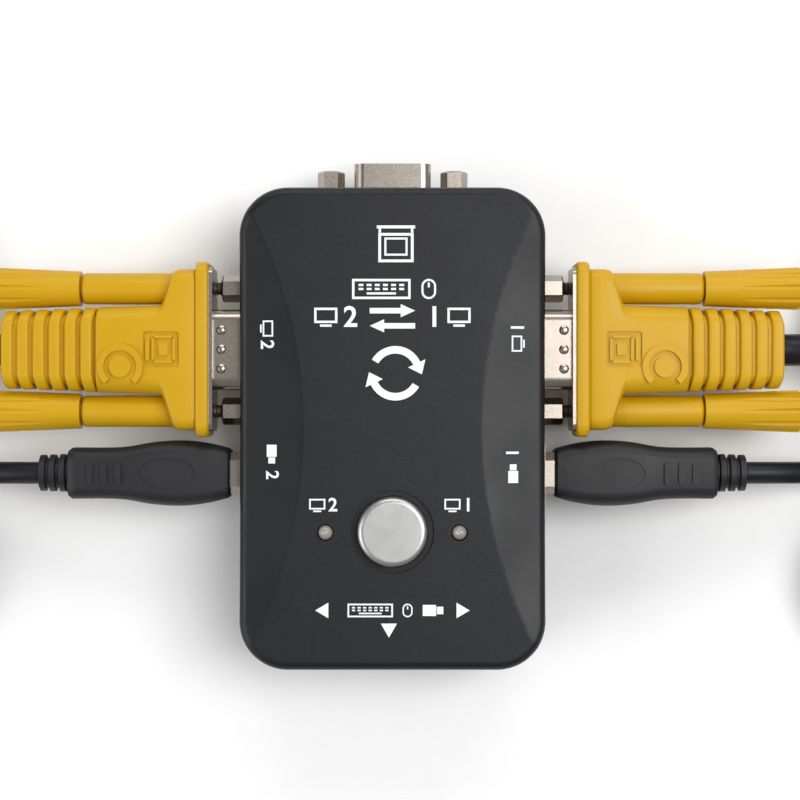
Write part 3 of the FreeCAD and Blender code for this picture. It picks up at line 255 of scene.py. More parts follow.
def paper(name):
    """Pale paper: flat and nearly white, with a faint fibre about 6 mm long."""
    material, tree, shader = new_material(name)
    place = add_node(tree, "ShaderNodeTexCoord").outputs["Object"]
    fibre = add_node(tree, "ShaderNodeTexNoise", {"Scale": 1 / (6 * MM)}, {"Vector": place})
    tint = add_node(tree, "ShaderNodeMix",
                    {"data_type": "RGBA", 6: linear("#F2F2F2"), 7: linear("#F6F6F6")},
                    {0: fibre.outputs["Fac"]})
    tree.links.new(tint.outputs[2], shader.inputs["Base Color"])
    shader.inputs["Roughness"].default_value = 0.9
    return material


# From the case wall, or the mouth of a far plug, to where a thumbscrew's handle begins.
HANDLE_REACH = 32.6 * MM


def make_materials():
    box, lead = bpy.context.scene.switch_box, bpy.context.scene.switch_leads
    looks = {}
    # Injection-moulded ABS from a spark-eroded tool: near black, with a fine grain drawn about
    # 0.25 mm across, and painted glints on the grain's peaks for its sparkle.
    looks["case"] = moulded_plastic("abs_spark_eroded", box.case_colour, 0.25 * MM, 0.03 * MM,
                                    0.36, 0.46, 0.08, 0.15, gloss=0.32)
    # Soft PVC moulded over the plugs: warm, slightly waxy, with a faint orange peel.
    looks["hood"] = moulded_plastic("pvc_moulded_yellow", lead.hood_colour, 0.9 * MM, 0.02 * MM,
                                    0.36, 0.46, 0.05, gloss=0.3)
    # The same PVC moulded on a nickel-plated steel screw, which is bare beyond the handle.
    looks["thumbscrew"] = screw_and_handle("thumbscrew_pvc_on_steel", lead.hood_colour,
                                           CASE_HALF_WIDTH + HANDLE_REACH, 1)
    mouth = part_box("vga_far_plug_pc1")[1].x + PLUG_MOUTH
    looks["far_thumbscrew"] = screw_and_handle("far_thumbscrew_pvc_on_steel", lead.hood_colour,
                                               mouth - HANDLE_REACH, -1)
    # The same PVC in black, with a coarser etched grain and painted glints on its peaks.
    looks["plug"] = moulded_plastic("pvc_moulded_black", lead.plug_colour, 0.35 * MM, 0.05 * MM,
                                    0.45, 0.58, 0.1, 0.25, gloss=0.4)
    # Extruded PVC jacket: smooth and satin.
    looks["cord"] = moulded_plastic("pvc_extruded_jacket", lead.cord_colour, 1.5 * MM, 0.02 * MM,
                                    0.4, 0.5, 0.1, gloss=0.3)
    # Glass-filled polyester of the sockets: black and duller than the case.
    looks["insert"] = moulded_plastic("pbt_connector_black", "#101012", 0.4 * MM, 0.02 * MM,
                                      0.45, 0.6)
    # The same polyester left white: pale and even between metal parts.
    looks["white"] = moulded_plastic("pbt_connector_white", "#E4E2DC", 0.4 * MM, 0.01 * MM,
                                     0.4, 0.5)
    # Silicone of the feet: too rough to show a highlight.
    looks["rubber"] = moulded_plastic("silicone_foot", "#202022", 0.5 * MM, 0.03 * MM, 0.7, 0.85)
    # Epoxy of the chips: matt from its mould.
    looks["chip"] = moulded_plastic("epoxy_chip", "#1C1C1D", 0.3 * MM, 0.02 * MM, 0.6, 0.75)
    # Green solder mask: glossier than the plastics round it.
    looks["board"] = moulded_plastic("solder_mask_green", "#0F4A2A", 1.2 * MM, 0.01 * MM,
                                     0.25, 0.4, 0.15)
    # Woven nylon of the straps: a deep weave without any shine.
    looks["strap"] = moulded_plastic("nylon_hook_and_loop", "#141416", 0.5 * MM, 0.2 * MM,
                                     0.85, 0.95)
    # Bright nickel over steel, a little warm, with fine rolling marks 0.2 mm apart.
    looks["nickel"] = metal("nickel_plate", "#A9A096", 0.26, 0.2 * MM, 0.004 * MM, (1, 1, 5))
    # Blackened zinc on the case screws: grey and half dull.
    looks["steel"] = metal("zinc_black_steel", "#55555A", 0.4, 0.3 * MM, 0.01 * MM)
    # A flash of gold on the contacts: warm beside the nickel.
    looks["gold"] = metal("gold_flash", "#D9B25A", 0.25, 0.3 * MM, 0.003 * MM)
    # Aluminium cans: pale, with marks drawn out along their sides.
    looks["can"] = metal("aluminium_can", "#C9CACC", 0.35, 0.3 * MM, 0.004 * MM, (1, 1, 6))
    # Metallic paint over ABS: satin, with flakes about 0.1 mm across.
    looks["button"] = metal("metallic_paint", box.button_colour, 0.36, 0.15 * MM, 0.006 * MM)
    # Water-clear epoxy of a lamp that isn't lit.
    looks["lamp"] = moulded_plastic("epoxy_lamp", "#CFC9C6", 0.8 * MM, 0.003 * MM, 0.12, 0.2)
    lamp_shader = looks["lamp"].node_tree.nodes["Principled BSDF"]
    lamp_shader.inputs["Transmission Weight"].default_value = 0.6
    # Pad-printing ink: flat white, its edge slightly broken by the grain under it.
    looks["print"] = moulded_plastic("pad_print_ink", box.print_colour, 0.3 * MM, 0.01 * MM,
                                     0.5, 0.6, 0.03)
    # The tinned cup in a lamp: a small warm glint inside the clear epoxy.
    looks["die"] = metal("lamp_reflector", "#C8B7A8", 0.3, 0.3 * MM, 0.01 * MM)
    # The sheet under everything, which gives a soft shadow and no highlight.
    looks["paper"] = paper("pale_paper_sweep")
    return looks


LOOKS = {}

# The start of a node's name to its finish; the first that fits is taken.
NODE_LOOKS = (
    ("top_cover", "case"), ("bottom_cover", "case"), ("rubber_feet", "rubber"),
    ("case_screws", "steel"), ("circuit_board", "board"), ("video_switch_chip", "chip"),
    ("usb_hub_chip", "chip"), ("capacitors", "can"), ("crystal", "can"), ("chip_resistors", "chip"),
    ("button_cap", "button"), ("push_switch", "chip"), ("switch_plunger", "white"),
    ("lamp", "lamp"), ("jackscrews", "nickel"), ("usb_a_contacts", "gold"),
    ("vga_shell", "nickel"), ("vga_insert", "insert"), ("usb_b_shell", "nickel"),
    ("usb_b_housing", "insert"), ("usb_a_shell", "nickel"), ("usb_a_tongue", "insert"),
    ("vga_plug_shell", "nickel"), ("vga_plug_pins", "gold"), ("thumbscrew", "thumbscrew"),
    ("vga_hood", "hood"), ("vga_far_plug", "hood"), ("usb_plug_shell", "nickel"),
    ("usb_plug_body", "plug"), ("usb_far_plug", "plug"),
    ("vga_lead", "cord"), ("vga_coil", "cord"), ("usb_lead", "cord"), ("usb_coil", "cord"),
)


def wear(piece, look):
    piece.data.materials.clear()
    piece.data.materials.append(LOOKS[look])


def dress_nodes():
    for name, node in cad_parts.items():
        look = next(look for start, look in NODE_LOOKS if name.startswith(start))
        if not node.material_slots:
            node.data.materials.append(None)
        for slot in node.material_slots:
            slot.link = "OBJECT"
            slot.material = LOOKS[look]


# ---- mesh helpers

def link(name, data):
    piece = bpy.data.objects.new(name, data)
    bpy.context.scene.collection.objects.link(piece)
    return piece


def finish_mesh(name, bm, look, sharp=35):
    """A linked piece from a bmesh, outward, smooth except at its sharp edges."""
    bmesh.ops.remove_doubles(bm, verts=bm.verts, dist=1e-7)
    bmesh.ops.recalc_face_normals(bm, faces=bm.faces)
    mesh = bpy.data.meshes.new(name)
    bm.to_mesh(mesh)
    bm.free()
    mesh.polygons.foreach_set("use_smooth", [True] * len(mesh.polygons))
    mesh.set_sharp_from_angle(angle=math.radians(sharp))
    piece = link(name, mesh)
    wear(piece, look)
    return piece


def plain_mesh(piece, look, sharp=35):
    """The piece as its modifiers leave it, as a plain mesh in a new object."""
    bpy.context.view_layer.update()
    graph = bpy.context.evaluated_depsgraph_get()
    mesh = bpy.data.meshes.new_from_object(piece.evaluated_get(graph))
    name = piece.name
    old = piece.data
    bpy.data.objects.remove(piece)
    if isinstance(old, bpy.types.Curve):
        bpy.data.curves.remove(old)
    result = link(name, mesh)
    mesh.polygons.foreach_set("use_smooth", [True] * len(mesh.polygons))
    mesh.set_sharp_from_angle(angle=math.radians(sharp))
    wear(result, look)
    return result


def rounded_section(half_width, half_height, corner, steps=6):
    """Points round a rounded rectangle, the same number for any size."""
    corner = min(corner, half_width, half_height)
    points = []
    for quarter, (sign_y, sign_z) in enumerate(((1, 1), (-1, 1), (-1, -1), (1, -1))):
        for step in range(steps + 1):
            angle = math.pi / 2 * (quarter + step / steps)
            points.append((sign_y * (half_width - corner) + corner * math.cos(angle),
                           sign_z * (half_height - corner) + corner * math.sin(angle)))
    return points


def bridge(bm, rings):
    """Join each ring of points to the next with a band of faces."""
    count = len(rings[0])
    for ring, after in zip(rings, rings[1:]):
        for place in range(count):
            following = (place + 1) % count
            bm.faces.new((ring[place], ring[following], after[following], after[place]))


def skin(bm, rings):
    """Bridge the rings and close the first and the last with a face."""
    bridge(bm, rings)
    bm.faces.new(rings[0])
    bm.faces.new(rings[-1])


def loft(bm, stations, bow=0.0):
    """Add a closed skin over sections along X: (distance, half width, half height, corner).

    A bow pushes the middle of every section along X.
    """
    rings = []
    for distance, half_width, half_height, corner in stations:
        ring = []
        for y, z in rounded_section(half_width, half_height, corner):
            lean = bow * (1 - (y / half_width) ** 2)
            ring.append(bm.verts.new((distance + lean, y, z)))
        rings.append(ring)
    bridge(bm, rings)
    for ring in (rings[0], rings[-1]):
        centre = bm.verts.new(sum((v.co for v in ring), Vector()) / len(ring))
        for place in range(len(ring)):
            bm.faces.new((ring[place], ring[(place + 1) % len(ring)], centre))


EDGE_STEPS = 4


def block_stations(start, end, half_width, half_height, corner, edge, end_width=None):
    """Sections of a block along X whose two ends are rounded by the edge radius."""
    end_width = half_width if end_width is None else end_width
    first, last = [], []
    for step in range(EDGE_STEPS + 1):
        angle = math.pi / 2 * step / EDGE_STEPS
        rise, run = edge * (1 - math.sin(angle)), edge * (1 - math.cos(angle))
        first.append((start + run, half_width - rise, half_height - rise, corner))
        last.append((end - rise, end_width - run, half_height - run, corner))
    return first + last


def lathe(bm, profile, y=0.0, segments=40):
    """Add a turned skin about a line along X, from (distance, radius) pairs."""
    angles = [2 * math.pi * k / segments for k in range(segments)]
    skin(bm, [[bm.verts.new((distance, y + radius * math.cos(a), radius * math.sin(a)))
               for a in angles] for distance, radius in profile])


def made(name, look, add, *given, sharp=35, **more):
    """A piece with the mesh that one maker adds: loft, lathe or upright_prism."""
    bm = bmesh.new()
    add(bm, *given, **more)
    return finish_mesh(name, bm, look, sharp)


def metres(rows):
    """Rows of numbers in millimetres, in metres."""
    return [tuple(value * MM for value in row) for row in rows]


def ramp(part, start=0.0, end=1.0):
    """A smooth rise from 0 to 1 between the start and the end."""
    part = max(0.0, min(1.0, (part - start) / (end - start)))
    return part * part * (3 - 2 * part)


def seat(piece, angle, x, y, z):
    """Turn a piece made along X about Z and move it, in its mesh."""
    piece.data.transform(Matrix.Translation((x, y, z)) @ Matrix.Rotation(angle, 4, "Z"))
    return piece


# ---- geometry nodes for what repeats along a line

def row_tree():
    """Copies of a piece along X, shrinking evenly towards the last."""
    tree = bpy.data.node_groups.new("row_of_ribs", "GeometryNodeTree")
    for label, kind in (("Piece", "Object"), ("Count", "Int"), ("Pitch", "Float"),
                        ("End Scale", "Float"), ("Look", "Material")):
        tree.interface.new_socket(label, in_out="INPUT", socket_type="NodeSocket" + kind)
    tree.interface.new_socket("Geometry", in_out="OUTPUT", socket_type="NodeSocketGeometry")
    given = add_node(tree, "NodeGroupInput").outputs
    offset = add_node(tree, "ShaderNodeCombineXYZ", None, {"X": given["Pitch"]})
    line = add_node(tree, "GeometryNodeMeshLine", None,
                    {"Count": given["Count"], "Offset": offset.outputs["Vector"]})
    last = add_node(tree, "ShaderNodeMath", {"operation": "SUBTRACT", 1: 1.0}, {0: given["Count"]})
    index = add_node(tree, "GeometryNodeInputIndex").outputs["Index"]
    shrink = add_node(tree, "ShaderNodeMapRange", {"From Min": 0.0, "To Min": 1.0},
                      {"Value": index, "From Max": last.outputs["Value"],
                       "To Max": given["End Scale"]}).outputs["Result"]
    scale = add_node(tree, "ShaderNodeCombineXYZ", {"X": 1.0}, {"Y": shrink, "Z": shrink})
    piece = add_node(tree, "GeometryNodeObjectInfo", None, {"Object": given["Piece"]})
    copies = add_node(tree, "GeometryNodeInstanceOnPoints", None,
                      {"Points": line.outputs["Mesh"], "Instance": piece.outputs["Geometry"],
                       "Scale": scale.outputs["Vector"]})
    real = add_node(tree, "GeometryNodeRealizeInstances", None,
                    {"Geometry": copies.outputs["Instances"]})
    dressed = add_node(tree, "GeometryNodeSetMaterial", None,
                       {"Geometry": real.outputs["Geometry"], "Material": given["Look"]})
    add_node(tree, "NodeGroupOutput", None, {"Geometry": dressed.outputs["Geometry"]})
    return tree


def row_of(name, piece, count, pitch, end_scale, look):
    """A row of copies of a piece along X; the piece itself is used up."""
    host = link(name, bpy.data.meshes.new(name))
    modifier = host.modifiers.new("Row", "NODES")
    modifier.node_group = bpy.data.node_groups.get("row_of_ribs") or row_tree()
    values = {"Piece": piece, "Count": count, "Pitch": pitch, "End Scale": end_scale,
              "Look": LOOKS[look]}
    for item in modifier.node_group.interface.items_tree:
        if item.in_out == "INPUT":
            modifier[item.identifier] = values[item.name]
    row = plain_mesh(host, look)
    bpy.data.objects.remove(piece)
    return row


def joined(name, parts, look, sharp=35):
    """One piece from several meshes."""
    bm = bmesh.new()
    for part in parts:
        bm.from_mesh(part.data)
        bpy.data.objects.remove(part)
    return finish_mesh(name, bm, look, sharp)


def carved(piece, cutters):
    """The piece with the cutters taken out of it, as a plain mesh."""
    look = next(look for look, material in LOOKS.items() if material == piece.data.materials[0])
    for cutter in cutters:
        modifier = piece.modifiers.new("Cut", "BOOLEAN")
        modifier.operation = "DIFFERENCE"
        modifier.solver = "EXACT"
        modifier.object = cutter
    result = plain_mesh(piece, look, 30)
    for cutter in cutters:
        bpy.data.objects.remove(cutter)
    return result


# ---- monitor plugs, made along X from 0 at the case wall

JACK_OFFSET = 12.5 * MM
FLANGE_START, FLANGE_END, FLANGE_HALF_HEIGHT = 6.5 * MM, 9.2 * MM, 7 * MM
BLOCK_END, TAPER_END, NECK_END, RELIEF_END = 13.2 * MM, 16.6 * MM, 28.7 * MM, 48 * MM
BLOCK_HALF_WIDTH, BLOCK_HALF_HEIGHT, BLOCK_CORNER = 16.25 * MM, 6.2 * MM, 2.4 * MM
NECK_HALF_WIDTH, NECK_CORNER, NECK_EDGE = 9 * MM, 3.4 * MM, 0.7 * MM
# What the neck loses from its half width and half height towards its end.
NECK_SLIMMER, NECK_LOWER = 0.4 * MM, 0.25 * MM
RIBS = 6


def upright_prism(bm, outline, low, high):
    """Add a closed upright prism over an outline in plan."""
    skin(bm, [[bm.verts.new((x, y, z)) for x, y in outline] for z in (low, high)])


def rounded_rectangle(x, y, half_length, half_width, corner):
    return [(x + across, y + along)
            for across, along in rounded_section(half_length, half_width, corner, 5)]


def ring_arc(x, y, radius, line, start, end, steps=32):
    """A band along an arc in plan, between two angles in degrees."""
    angles = [math.radians(start + (end - start) * step / steps) for step in range(steps + 1)]
    outer = [(x + radius * math.cos(a), y + radius * math.sin(a)) for a in angles]
    inner = [(x + (radius - line) * math.cos(a), y + (radius - line) * math.sin(a))
             for a in reversed(angles)]
    return outer + inner


def hood_stations():
    """Sections of the hood behind its flange: block, hollowed shoulder and neck."""
    stations = block_stations(FLANGE_END - 0.3 * MM, BLOCK_END, BLOCK_HALF_WIDTH,
                              BLOCK_HALF_HEIGHT, BLOCK_CORNER, 0.8 * MM)[:-EDGE_STEPS]
    for step in range(1, 9):
        part = step / 8
        stations.append((BLOCK_END + (TAPER_END - BLOCK_END) * part,
                         BLOCK_HALF_WIDTH + (NECK_HALF_WIDTH - BLOCK_HALF_WIDTH) * ramp(part),
                         BLOCK_HALF_HEIGHT, BLOCK_CORNER + (NECK_CORNER - BLOCK_CORNER) * part))
    for step in range(1, 7):
        part = step / 6
        stations.append((TAPER_END + (NECK_END - TAPER_END) * part,
                         NECK_HALF_WIDTH - NECK_SLIMMER * part,
                         BLOCK_HALF_HEIGHT - NECK_LOWER * part, NECK_CORNER))
    width, height = NECK_HALF_WIDTH - NECK_SLIMMER, BLOCK_HALF_HEIGHT - NECK_LOWER
    for step in range(1, 5):
        angle = math.pi / 2 * step / 4
        inset = NECK_EDGE * (1 - math.cos(angle))
        stations.append((NECK_END + NECK_EDGE * math.sin(angle), width - inset, height - inset,
                         NECK_CORNER))
    return stations


def hood_marks(name, ring_side):
    """What is raised on the hood's top: the screen in its badge, and the ring with its dot."""
    bm = bmesh.new()
    low, high = 5.6 * MM, 6.2 * MM
    centre, half, line, reach = 15.6 * MM, 2.1 * MM, 0.55 * MM, 2.5 * MM
    for x, y, half_x, half_y in ((centre + half, 0, line / 2, reach),
                                 (centre - half, 0, line / 2, reach),
                                 (centre, reach, half, line / 2),
                                 (centre, -reach, half, line / 2),
                                 (centre, 0, half * 0.45, 1.2 * MM),
                                 (centre + half + 1.1 * MM, 0, 0.4 * MM, 2.2 * MM)):
        upright_prism(bm, rounded_rectangle(x, y, half_x, half_y, 0.15 * MM), low, high)
    ring_x, ring_y, ring_high, dot = 24.3 * MM, ring_side * 3.5 * MM, 6.6 * MM, 2.2 * MM
    opening = 90 * ring_side
    upright_prism(bm, ring_arc(ring_x, ring_y, 4.6 * MM, 1.3 * MM, opening + 42, opening + 318),
                  low, ring_high)
    upright_prism(bm, rounded_rectangle(ring_x, ring_y, dot, dot, dot), low, ring_high)
    return finish_mesh(name, bm, "hood", 40)


def make_hood(name, ring_side):
    """The yellow moulded hood with its badge, ring mark, sleeves and ribbed relief."""
    recess = rounded_rectangle(16.1 * MM, 0, 3.6 * MM, 3.6 * MM, 0.7 * MM)
    block = made(name + "_block", "hood", loft, hood_stations())
    block = carved(block, [made("badge_cutter", "hood", upright_prism, recess, 5.7 * MM, 8 * MM)])

    bm = bmesh.new()
    loft(bm, block_stations(FLANGE_START, FLANGE_END, 17.7 * MM, FLANGE_HALF_HEIGHT, 2.6 * MM,
                            0.7 * MM))
    loft(bm, [(NECK_END - 1 * MM, 7.3 * MM, 4.5 * MM, 2.2 * MM),
              (RELIEF_END - 0.4 * MM, 6.9 * MM, 4.4 * MM, 2.2 * MM)])
    sleeve = metres(((11.7, 3.2), (31.9, 3.2), (32.4, 3.05), (32.7, 2.6), (32.7, 1.5), (31, 1.5)))
    for side in (1, -1):
        lathe(bm, sleeve, side * JACK_OFFSET)
    shell = finish_mesh(name + "_shell", bm, "hood", 40)

    pitch = (RELIEF_END - NECK_END) / RIBS
    rib = made("rib", "hood", loft, block_stations(NECK_END + 0.8 * MM, NECK_END + pitch, 8.5 * MM,
                                                   5.6 * MM, 3.2 * MM, 0.55 * MM), 0.9 * MM)
    symbol = hood_marks(name + "_marks", ring_side)
    ribs = row_of(name + "_ribs", rib, RIBS, pitch, 0.93, "hood")
    return joined(name, [block, shell, symbol, ribs], "hood", 40)


def make_jackscrew():
    """A hexagon post with a flat on top, its end chamfered and bored for a screw."""
    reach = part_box("jackscrews")[1].x - CASE_HALF_WIDTH
    corner, bore = 2.4 * MM / math.cos(math.pi / 6), 1.45 * MM
    angles = [math.radians(60 * k) for k in range(6)]
    bm = bmesh.new()
    skin(bm, [[bm.verts.new((along, scale * corner * math.cos(a), scale * corner * math.sin(a)))
               for a in angles]
              for along, scale in ((-0.4 * MM, 1), (reach - 0.3 * MM, 1), (reach, 0.87))])
    head = finish_mesh("jackscrew", bm, "nickel", 20)
    drill = made("bore", "nickel", lathe, ((0, bore), (reach + 1 * MM, bore)), segments=24)
    return carved(head, [drill])


def copy_of(node, name, look):
    """A merged copy of a CAD node's mesh as a new piece."""
    bm = bmesh.new()
    bm.from_mesh(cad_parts[node].data)
    return finish_mesh(name, bm, look, 30)


def far_matrix(side):
    """From a near plug on one side to the far plug that lies on its coil."""
    low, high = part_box("vga_far_plug_pc1")
    near = Matrix.Translation((side * CASE_HALF_WIDTH, VGA_Y, VGA_Z))
    far = Matrix.Translation((side * (high.x + PLUG_MOUTH), (low.y + high.y) / 2,
                              low.z + FLANGE_HALF_HEIGHT))
    return far @ Matrix.Rotation(math.pi, 4, "Z") @ near.inverted()


BOSS_PITCH, BOSS_FROM_CASE = 3.9 * MM, 4.1 * MM
DOWN = Vector((0, 0, -1))


class SWITCHBOX_OT_metalwork(bpy.types.Operator):
    """Make the hexagon jackscrews and the pressed bosses on the plugs' shells"""
    bl_idname = "switchbox.metalwork"
    bl_label = "Jackscrews and bosses"

    def execute(self, context):
        screws = []
        for angle, x, y in ((0, CASE_HALF_WIDTH, VGA_Y), (math.pi, -CASE_HALF_WIDTH, VGA_Y),
                            (math.pi / 2, 0, COVER_HIGH.y)):
            for end in (1, -1):
                screw = make_jackscrew()
                screw.data.transform(Matrix.Translation((0, end * JACK_OFFSET, 0)))
                screws.append(seat(screw, angle, x, y, VGA_Z))
        all_screws = joined("hex_jackscrews", screws, "nickel", 20)
        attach(all_screws, "case")
        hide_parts("jackscrews")

        for label, side in SIDES:
            shell = BVHTree.FromObject(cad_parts[f"vga_plug_shell_{label}"],
                                       context.evaluated_depsgraph_get())
            x = side * (CASE_HALF_WIDTH + BOSS_FROM_CASE)
            hit = shell.ray_cast(Vector((x, VGA_Y, CASE_TOP + 10 * MM)), DOWN)[0]
            boss = made("boss", "nickel", lathe,
                        metres(((-0.3, 1.05), (0, 1), (0.22, 0.7), (0.32, 0.3))), segments=20)
            boss.data.transform(Matrix.Rotation(-math.pi / 2, 4, "Y"))
            boss.data.transform(Matrix.Rotation(math.pi / 2, 4, "Z"))
            row = row_of(f"shell_bosses_{label}", boss, 3, BOSS_PITCH, 1.0, "nickel")
            seat(row, math.pi / 2, x, VGA_Y - BOSS_PITCH, hit.z)
            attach(row, f"monitor_lead_{label}")
        return {"FINISHED"}


class SWITCHBOX_OT_hoods(bpy.types.Operator):
    """Make the monitor plugs' hoods, near and far"""
    bl_idname = "switchbox.hoods"
    bl_label = "Monitor plugs"

    def execute(self, context):
        for label, side in SIDES:
            body = f"monitor_lead_{label}"
            angle = 0 if side > 0 else math.pi
            hood = make_hood(f"hood_{label}", -side)
            seat(hood, angle, side * CASE_HALF_WIDTH, VGA_Y, VGA_Z)
            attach(hood, body)
            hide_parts(f"vga_hood_{label}")

            move = far_matrix(side)
            far = make_hood(f"far_hood_{label}", side)
            seat(far, angle, side * CASE_HALF_WIDTH, VGA_Y, VGA_Z)
            far.data.transform(move)
            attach(far, body)
            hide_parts(f"vga_far_plug_{label}")
            for node, name, look, slot in (
                    (f"vga_plug_shell_{label}", "far_shell", "nickel", "connector_nickel"),
                    (f"vga_plug_pins_{label}", "far_pins", "gold", "contact_gold"),
                    (f"thumbscrew_rear_{label}", "far_screw_rear", "far_thumbscrew",
                     "hood_yellow"),
                    (f"thumbscrew_front_{label}", "far_screw_front", "far_thumbscrew",
                     "hood_yellow")):
                piece = copy_of(node, f"{name}_{label}", look)
                piece.data.transform(move)
                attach(piece, body)
        return {"FINISHED"}


# ---- USB plugs

def smooth_stations(stations, between=4):
    """More sections between the given ones, along a Catmull-Rom curve."""
    result = []
    for index in range(len(stations) - 1):
        around = [stations[max(0, min(len(stations) - 1, index + step))] for step in (-1, 0, 1, 2)]
        for step in range(between):
            part = step / between
            result.append(tuple(
                0.5 * (2 * b + (c - a) * part + (2 * a - 5 * b + 4 * c - d) * part ** 2
                       + (3 * b - a - 3 * c + d) * part ** 3)
                for a, b, c, d in zip(*around)))
    return result + [stations[-1]]


def make_usb_body(name):
    """The waisted body of the square USB plug, with its oval, ridges and slotted relief."""
    middle = [(2.9, 5.0, 4.9, 2.4), (6.4, 5.9, 5.0, 2.6), (10.5, 6.5, 5.0, 2.8),
              (14.5, 6.6, 5.0, 2.8), (19, 6.2, 4.95, 2.8), (23.5, 5.4, 4.8, 2.6),
              (28, 5.15, 4.75, 2.6), (34.6, 5.2, 4.7, 2.6)]
    stations = [(2.4, 4.5, 4.4, 2.2)] + smooth_stations(middle) + [(35.4, 4.6, 4.1, 2.2)]
    body = made(name + "_body", "plug", loft, metres(stations), sharp=50)
    rim = [(15.1 * MM + 5.6 * MM * math.cos(a), 3.2 * MM * math.sin(a))
           for a in (2 * math.pi * k / 48 for k in range(48))]
    body = carved(body, [made("oval_cutter", "plug", upright_prism, rim, 4.65 * MM, 6 * MM)])

    ridge = made("ridge", "plug", upright_prism,
                 rounded_rectangle(25.1 * MM, 0, 0.65 * MM, 2.3 * MM, 0.6 * MM),
                 4.3 * MM, 5.25 * MM)
    ridges = row_of(name + "_ridges", ridge, 3, 2.85 * MM, 0.98, "plug")
    core = made(name + "_core", "plug", lathe, metres(((34.4, 3.1), (41.4, 3.0))))
    ring = made("ring", "plug", lathe, metres(((36, 3.3), (36.2, 3.85), (37.3, 3.85),
                                               (37.5, 3.3))))
    rings = row_of(name + "_rings", ring, 3, 2.03 * MM, 0.96, "plug")
    return joined(name, [body, ridges, core, rings], "plug", 40)


def tube_shell(bm, start, end, half_width, half_height, wall):
    """Add a thin rectangular tube along X, closed at its start."""
    outer = rounded_section(half_width, half_height, 0.5 * MM, 3)
    inner = rounded_section(half_width - wall, half_height - wall, 0.3 * MM, 3)
    skin(bm, [[bm.verts.new((distance, y, z)) for y, z in section]
              for distance, section in ((start, outer), (end, outer), (end, inner),
                                        (start + wall, inner))])


def make_far_usb(label):
    """The flat far plug, from 0 at its mouth: ridged grip, shell, and the tongue inside."""
    bm = bmesh.new()
    loft(bm, block_stations(11.8 * MM, 41.8 * MM, 7.7 * MM, 3.8 * MM, 1.8 * MM, 0.9 * MM,
                            5.6 * MM))
    lathe(bm, metres(((41, 3.6), (47.8, 3.0))))
    grip = finish_mesh(f"far_grip_{label}", bm, "plug", 40)
    ridge = made("ridge", "plug", upright_prism,
                 rounded_rectangle(30 * MM, 0, 0.5 * MM, 3.4 * MM, 0.5 * MM), 3.2 * MM, 3.88 * MM)
    ridges = row_of(f"far_ridges_{label}", ridge, 4, 2.2 * MM, 0.97, "plug")
    far = joined(f"usb_far_body_{label}", [grip, ridges], "plug", 40)

    bm = bmesh.new()
    shell_start, shell_end = 0.4 * MM, 11.9 * MM
    tube_shell(bm, shell_start, shell_end, 6 * MM, 2.25 * MM, 0.3 * MM)
    # Turned end for end, so that its closed end is in the grip.
    for vertex in bm.verts:
        vertex.co.x = shell_start + shell_end - vertex.co.x
    shell = finish_mesh(f"usb_far_shell_{label}", bm, "nickel", 30)
    tongue_half = 0.95 * MM
    tongue = made(f"usb_far_tongue_{label}", "white", loft,
                  block_stations(0.9 * MM, 11.8 * MM, 5.6 * MM, tongue_half, 0.2 * MM, 0.15 * MM),
                  sharp=30)
    tongue.data.transform(Matrix.Translation((0, 0, -tongue_half)))
    return far, shell, tongue


class SWITCHBOX_OT_usb_plugs(bpy.types.Operator):
    """Make the USB plugs' bodies, near and far"""
    bl_idname = "switchbox.usb_plugs"
    bl_label = "USB plugs"

    def execute(self, context):
        far_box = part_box("usb_far_plug_pc1")
        mouth_x = far_box[1].x
        _, far_y, far_z = centre_of(far_box)
        for label, side in SIDES:
            body = f"usb_lead_{label}"
            near = make_usb_body(f"usb_body_{label}")
            seat(near, 0 if side > 0 else math.pi, side * CASE_HALF_WIDTH, USB_Y, USB_Z)
            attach(near, body)
            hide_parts(f"usb_plug_body_{label}")

            far, shell, tongue = make_far_usb(label)
            for piece, slot in ((far, "plug_black"), (shell, "connector_nickel"),
                                (tongue, "socket_white")):
                seat(piece, math.pi if side > 0 else 0, side * mouth_x, far_y, far_z)
                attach(piece, body)
            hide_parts(f"usb_far_plug_{label}")
        return {"FINISHED"}


# ---- cords

ARC_POINTS, RUN_POINTS = 8, 2
# The parts of a turn between which a cord moves over to its next slot, and by how much of a turn
# it climbs before it moves sideways.
USUAL_SHIFT, CLIMB_LEAD = (0.6, 0.96), 0.05


def hank_turns(coil_box, columns, slots, cord, sense, last, last_shift):
    """Control points of a hank's turns, from the start of its outer bend, slot by slot.

    A slot is (column, layer).  The last turn ends with its inner bend, at radius and height last.
    """
    low, high = coil_box
    centre_x, centre_y, _ = centre_of(coil_box)
    half_run = ((high.x - low.x) - (high.y - low.y)) / 2
    radius = (high.y - low.y) / 2 - columns * cord / 2
    places = [(radius + column * cord, (layer + 0.5) * cord) for column, layer in slots] + [last]
    step = math.pi / ARC_POINTS
    swell = 1 / math.cos(step / 2)
    per_turn = 2 * (ARC_POINTS + RUN_POINTS)
    points = []
    for turn in range(len(slots)):
        here, after = places[turn], places[turn + 1]
        final = turn == len(slots) - 1
        start, end = last_shift if final else USUAL_SHIFT
        for index in range(per_turn if not final else per_turn - RUN_POINTS):
            part = index / per_turn
            reach = here[0] + (after[0] - here[0]) * ramp(part, start, end)
            height = here[1] + (after[1] - here[1]) * ramp(part + CLIMB_LEAD, start, end)
            half, place = divmod(index, ARC_POINTS + RUN_POINTS)
            way = 1 if half == 0 else -1
            if place < ARC_POINTS:
                angle = -math.pi / 2 + (place + 0.5) * step
                x = way * (half_run + swell * reach * math.cos(angle))
                y = way * swell * reach * math.sin(angle)
            else:
                along = (place - ARC_POINTS + 1) / (RUN_POINTS + 1)
                x = way * half_run * (1 - 2 * along)
                y = way * reach
            points.append((centre_x + x, centre_y + sense * y, height))
    return points


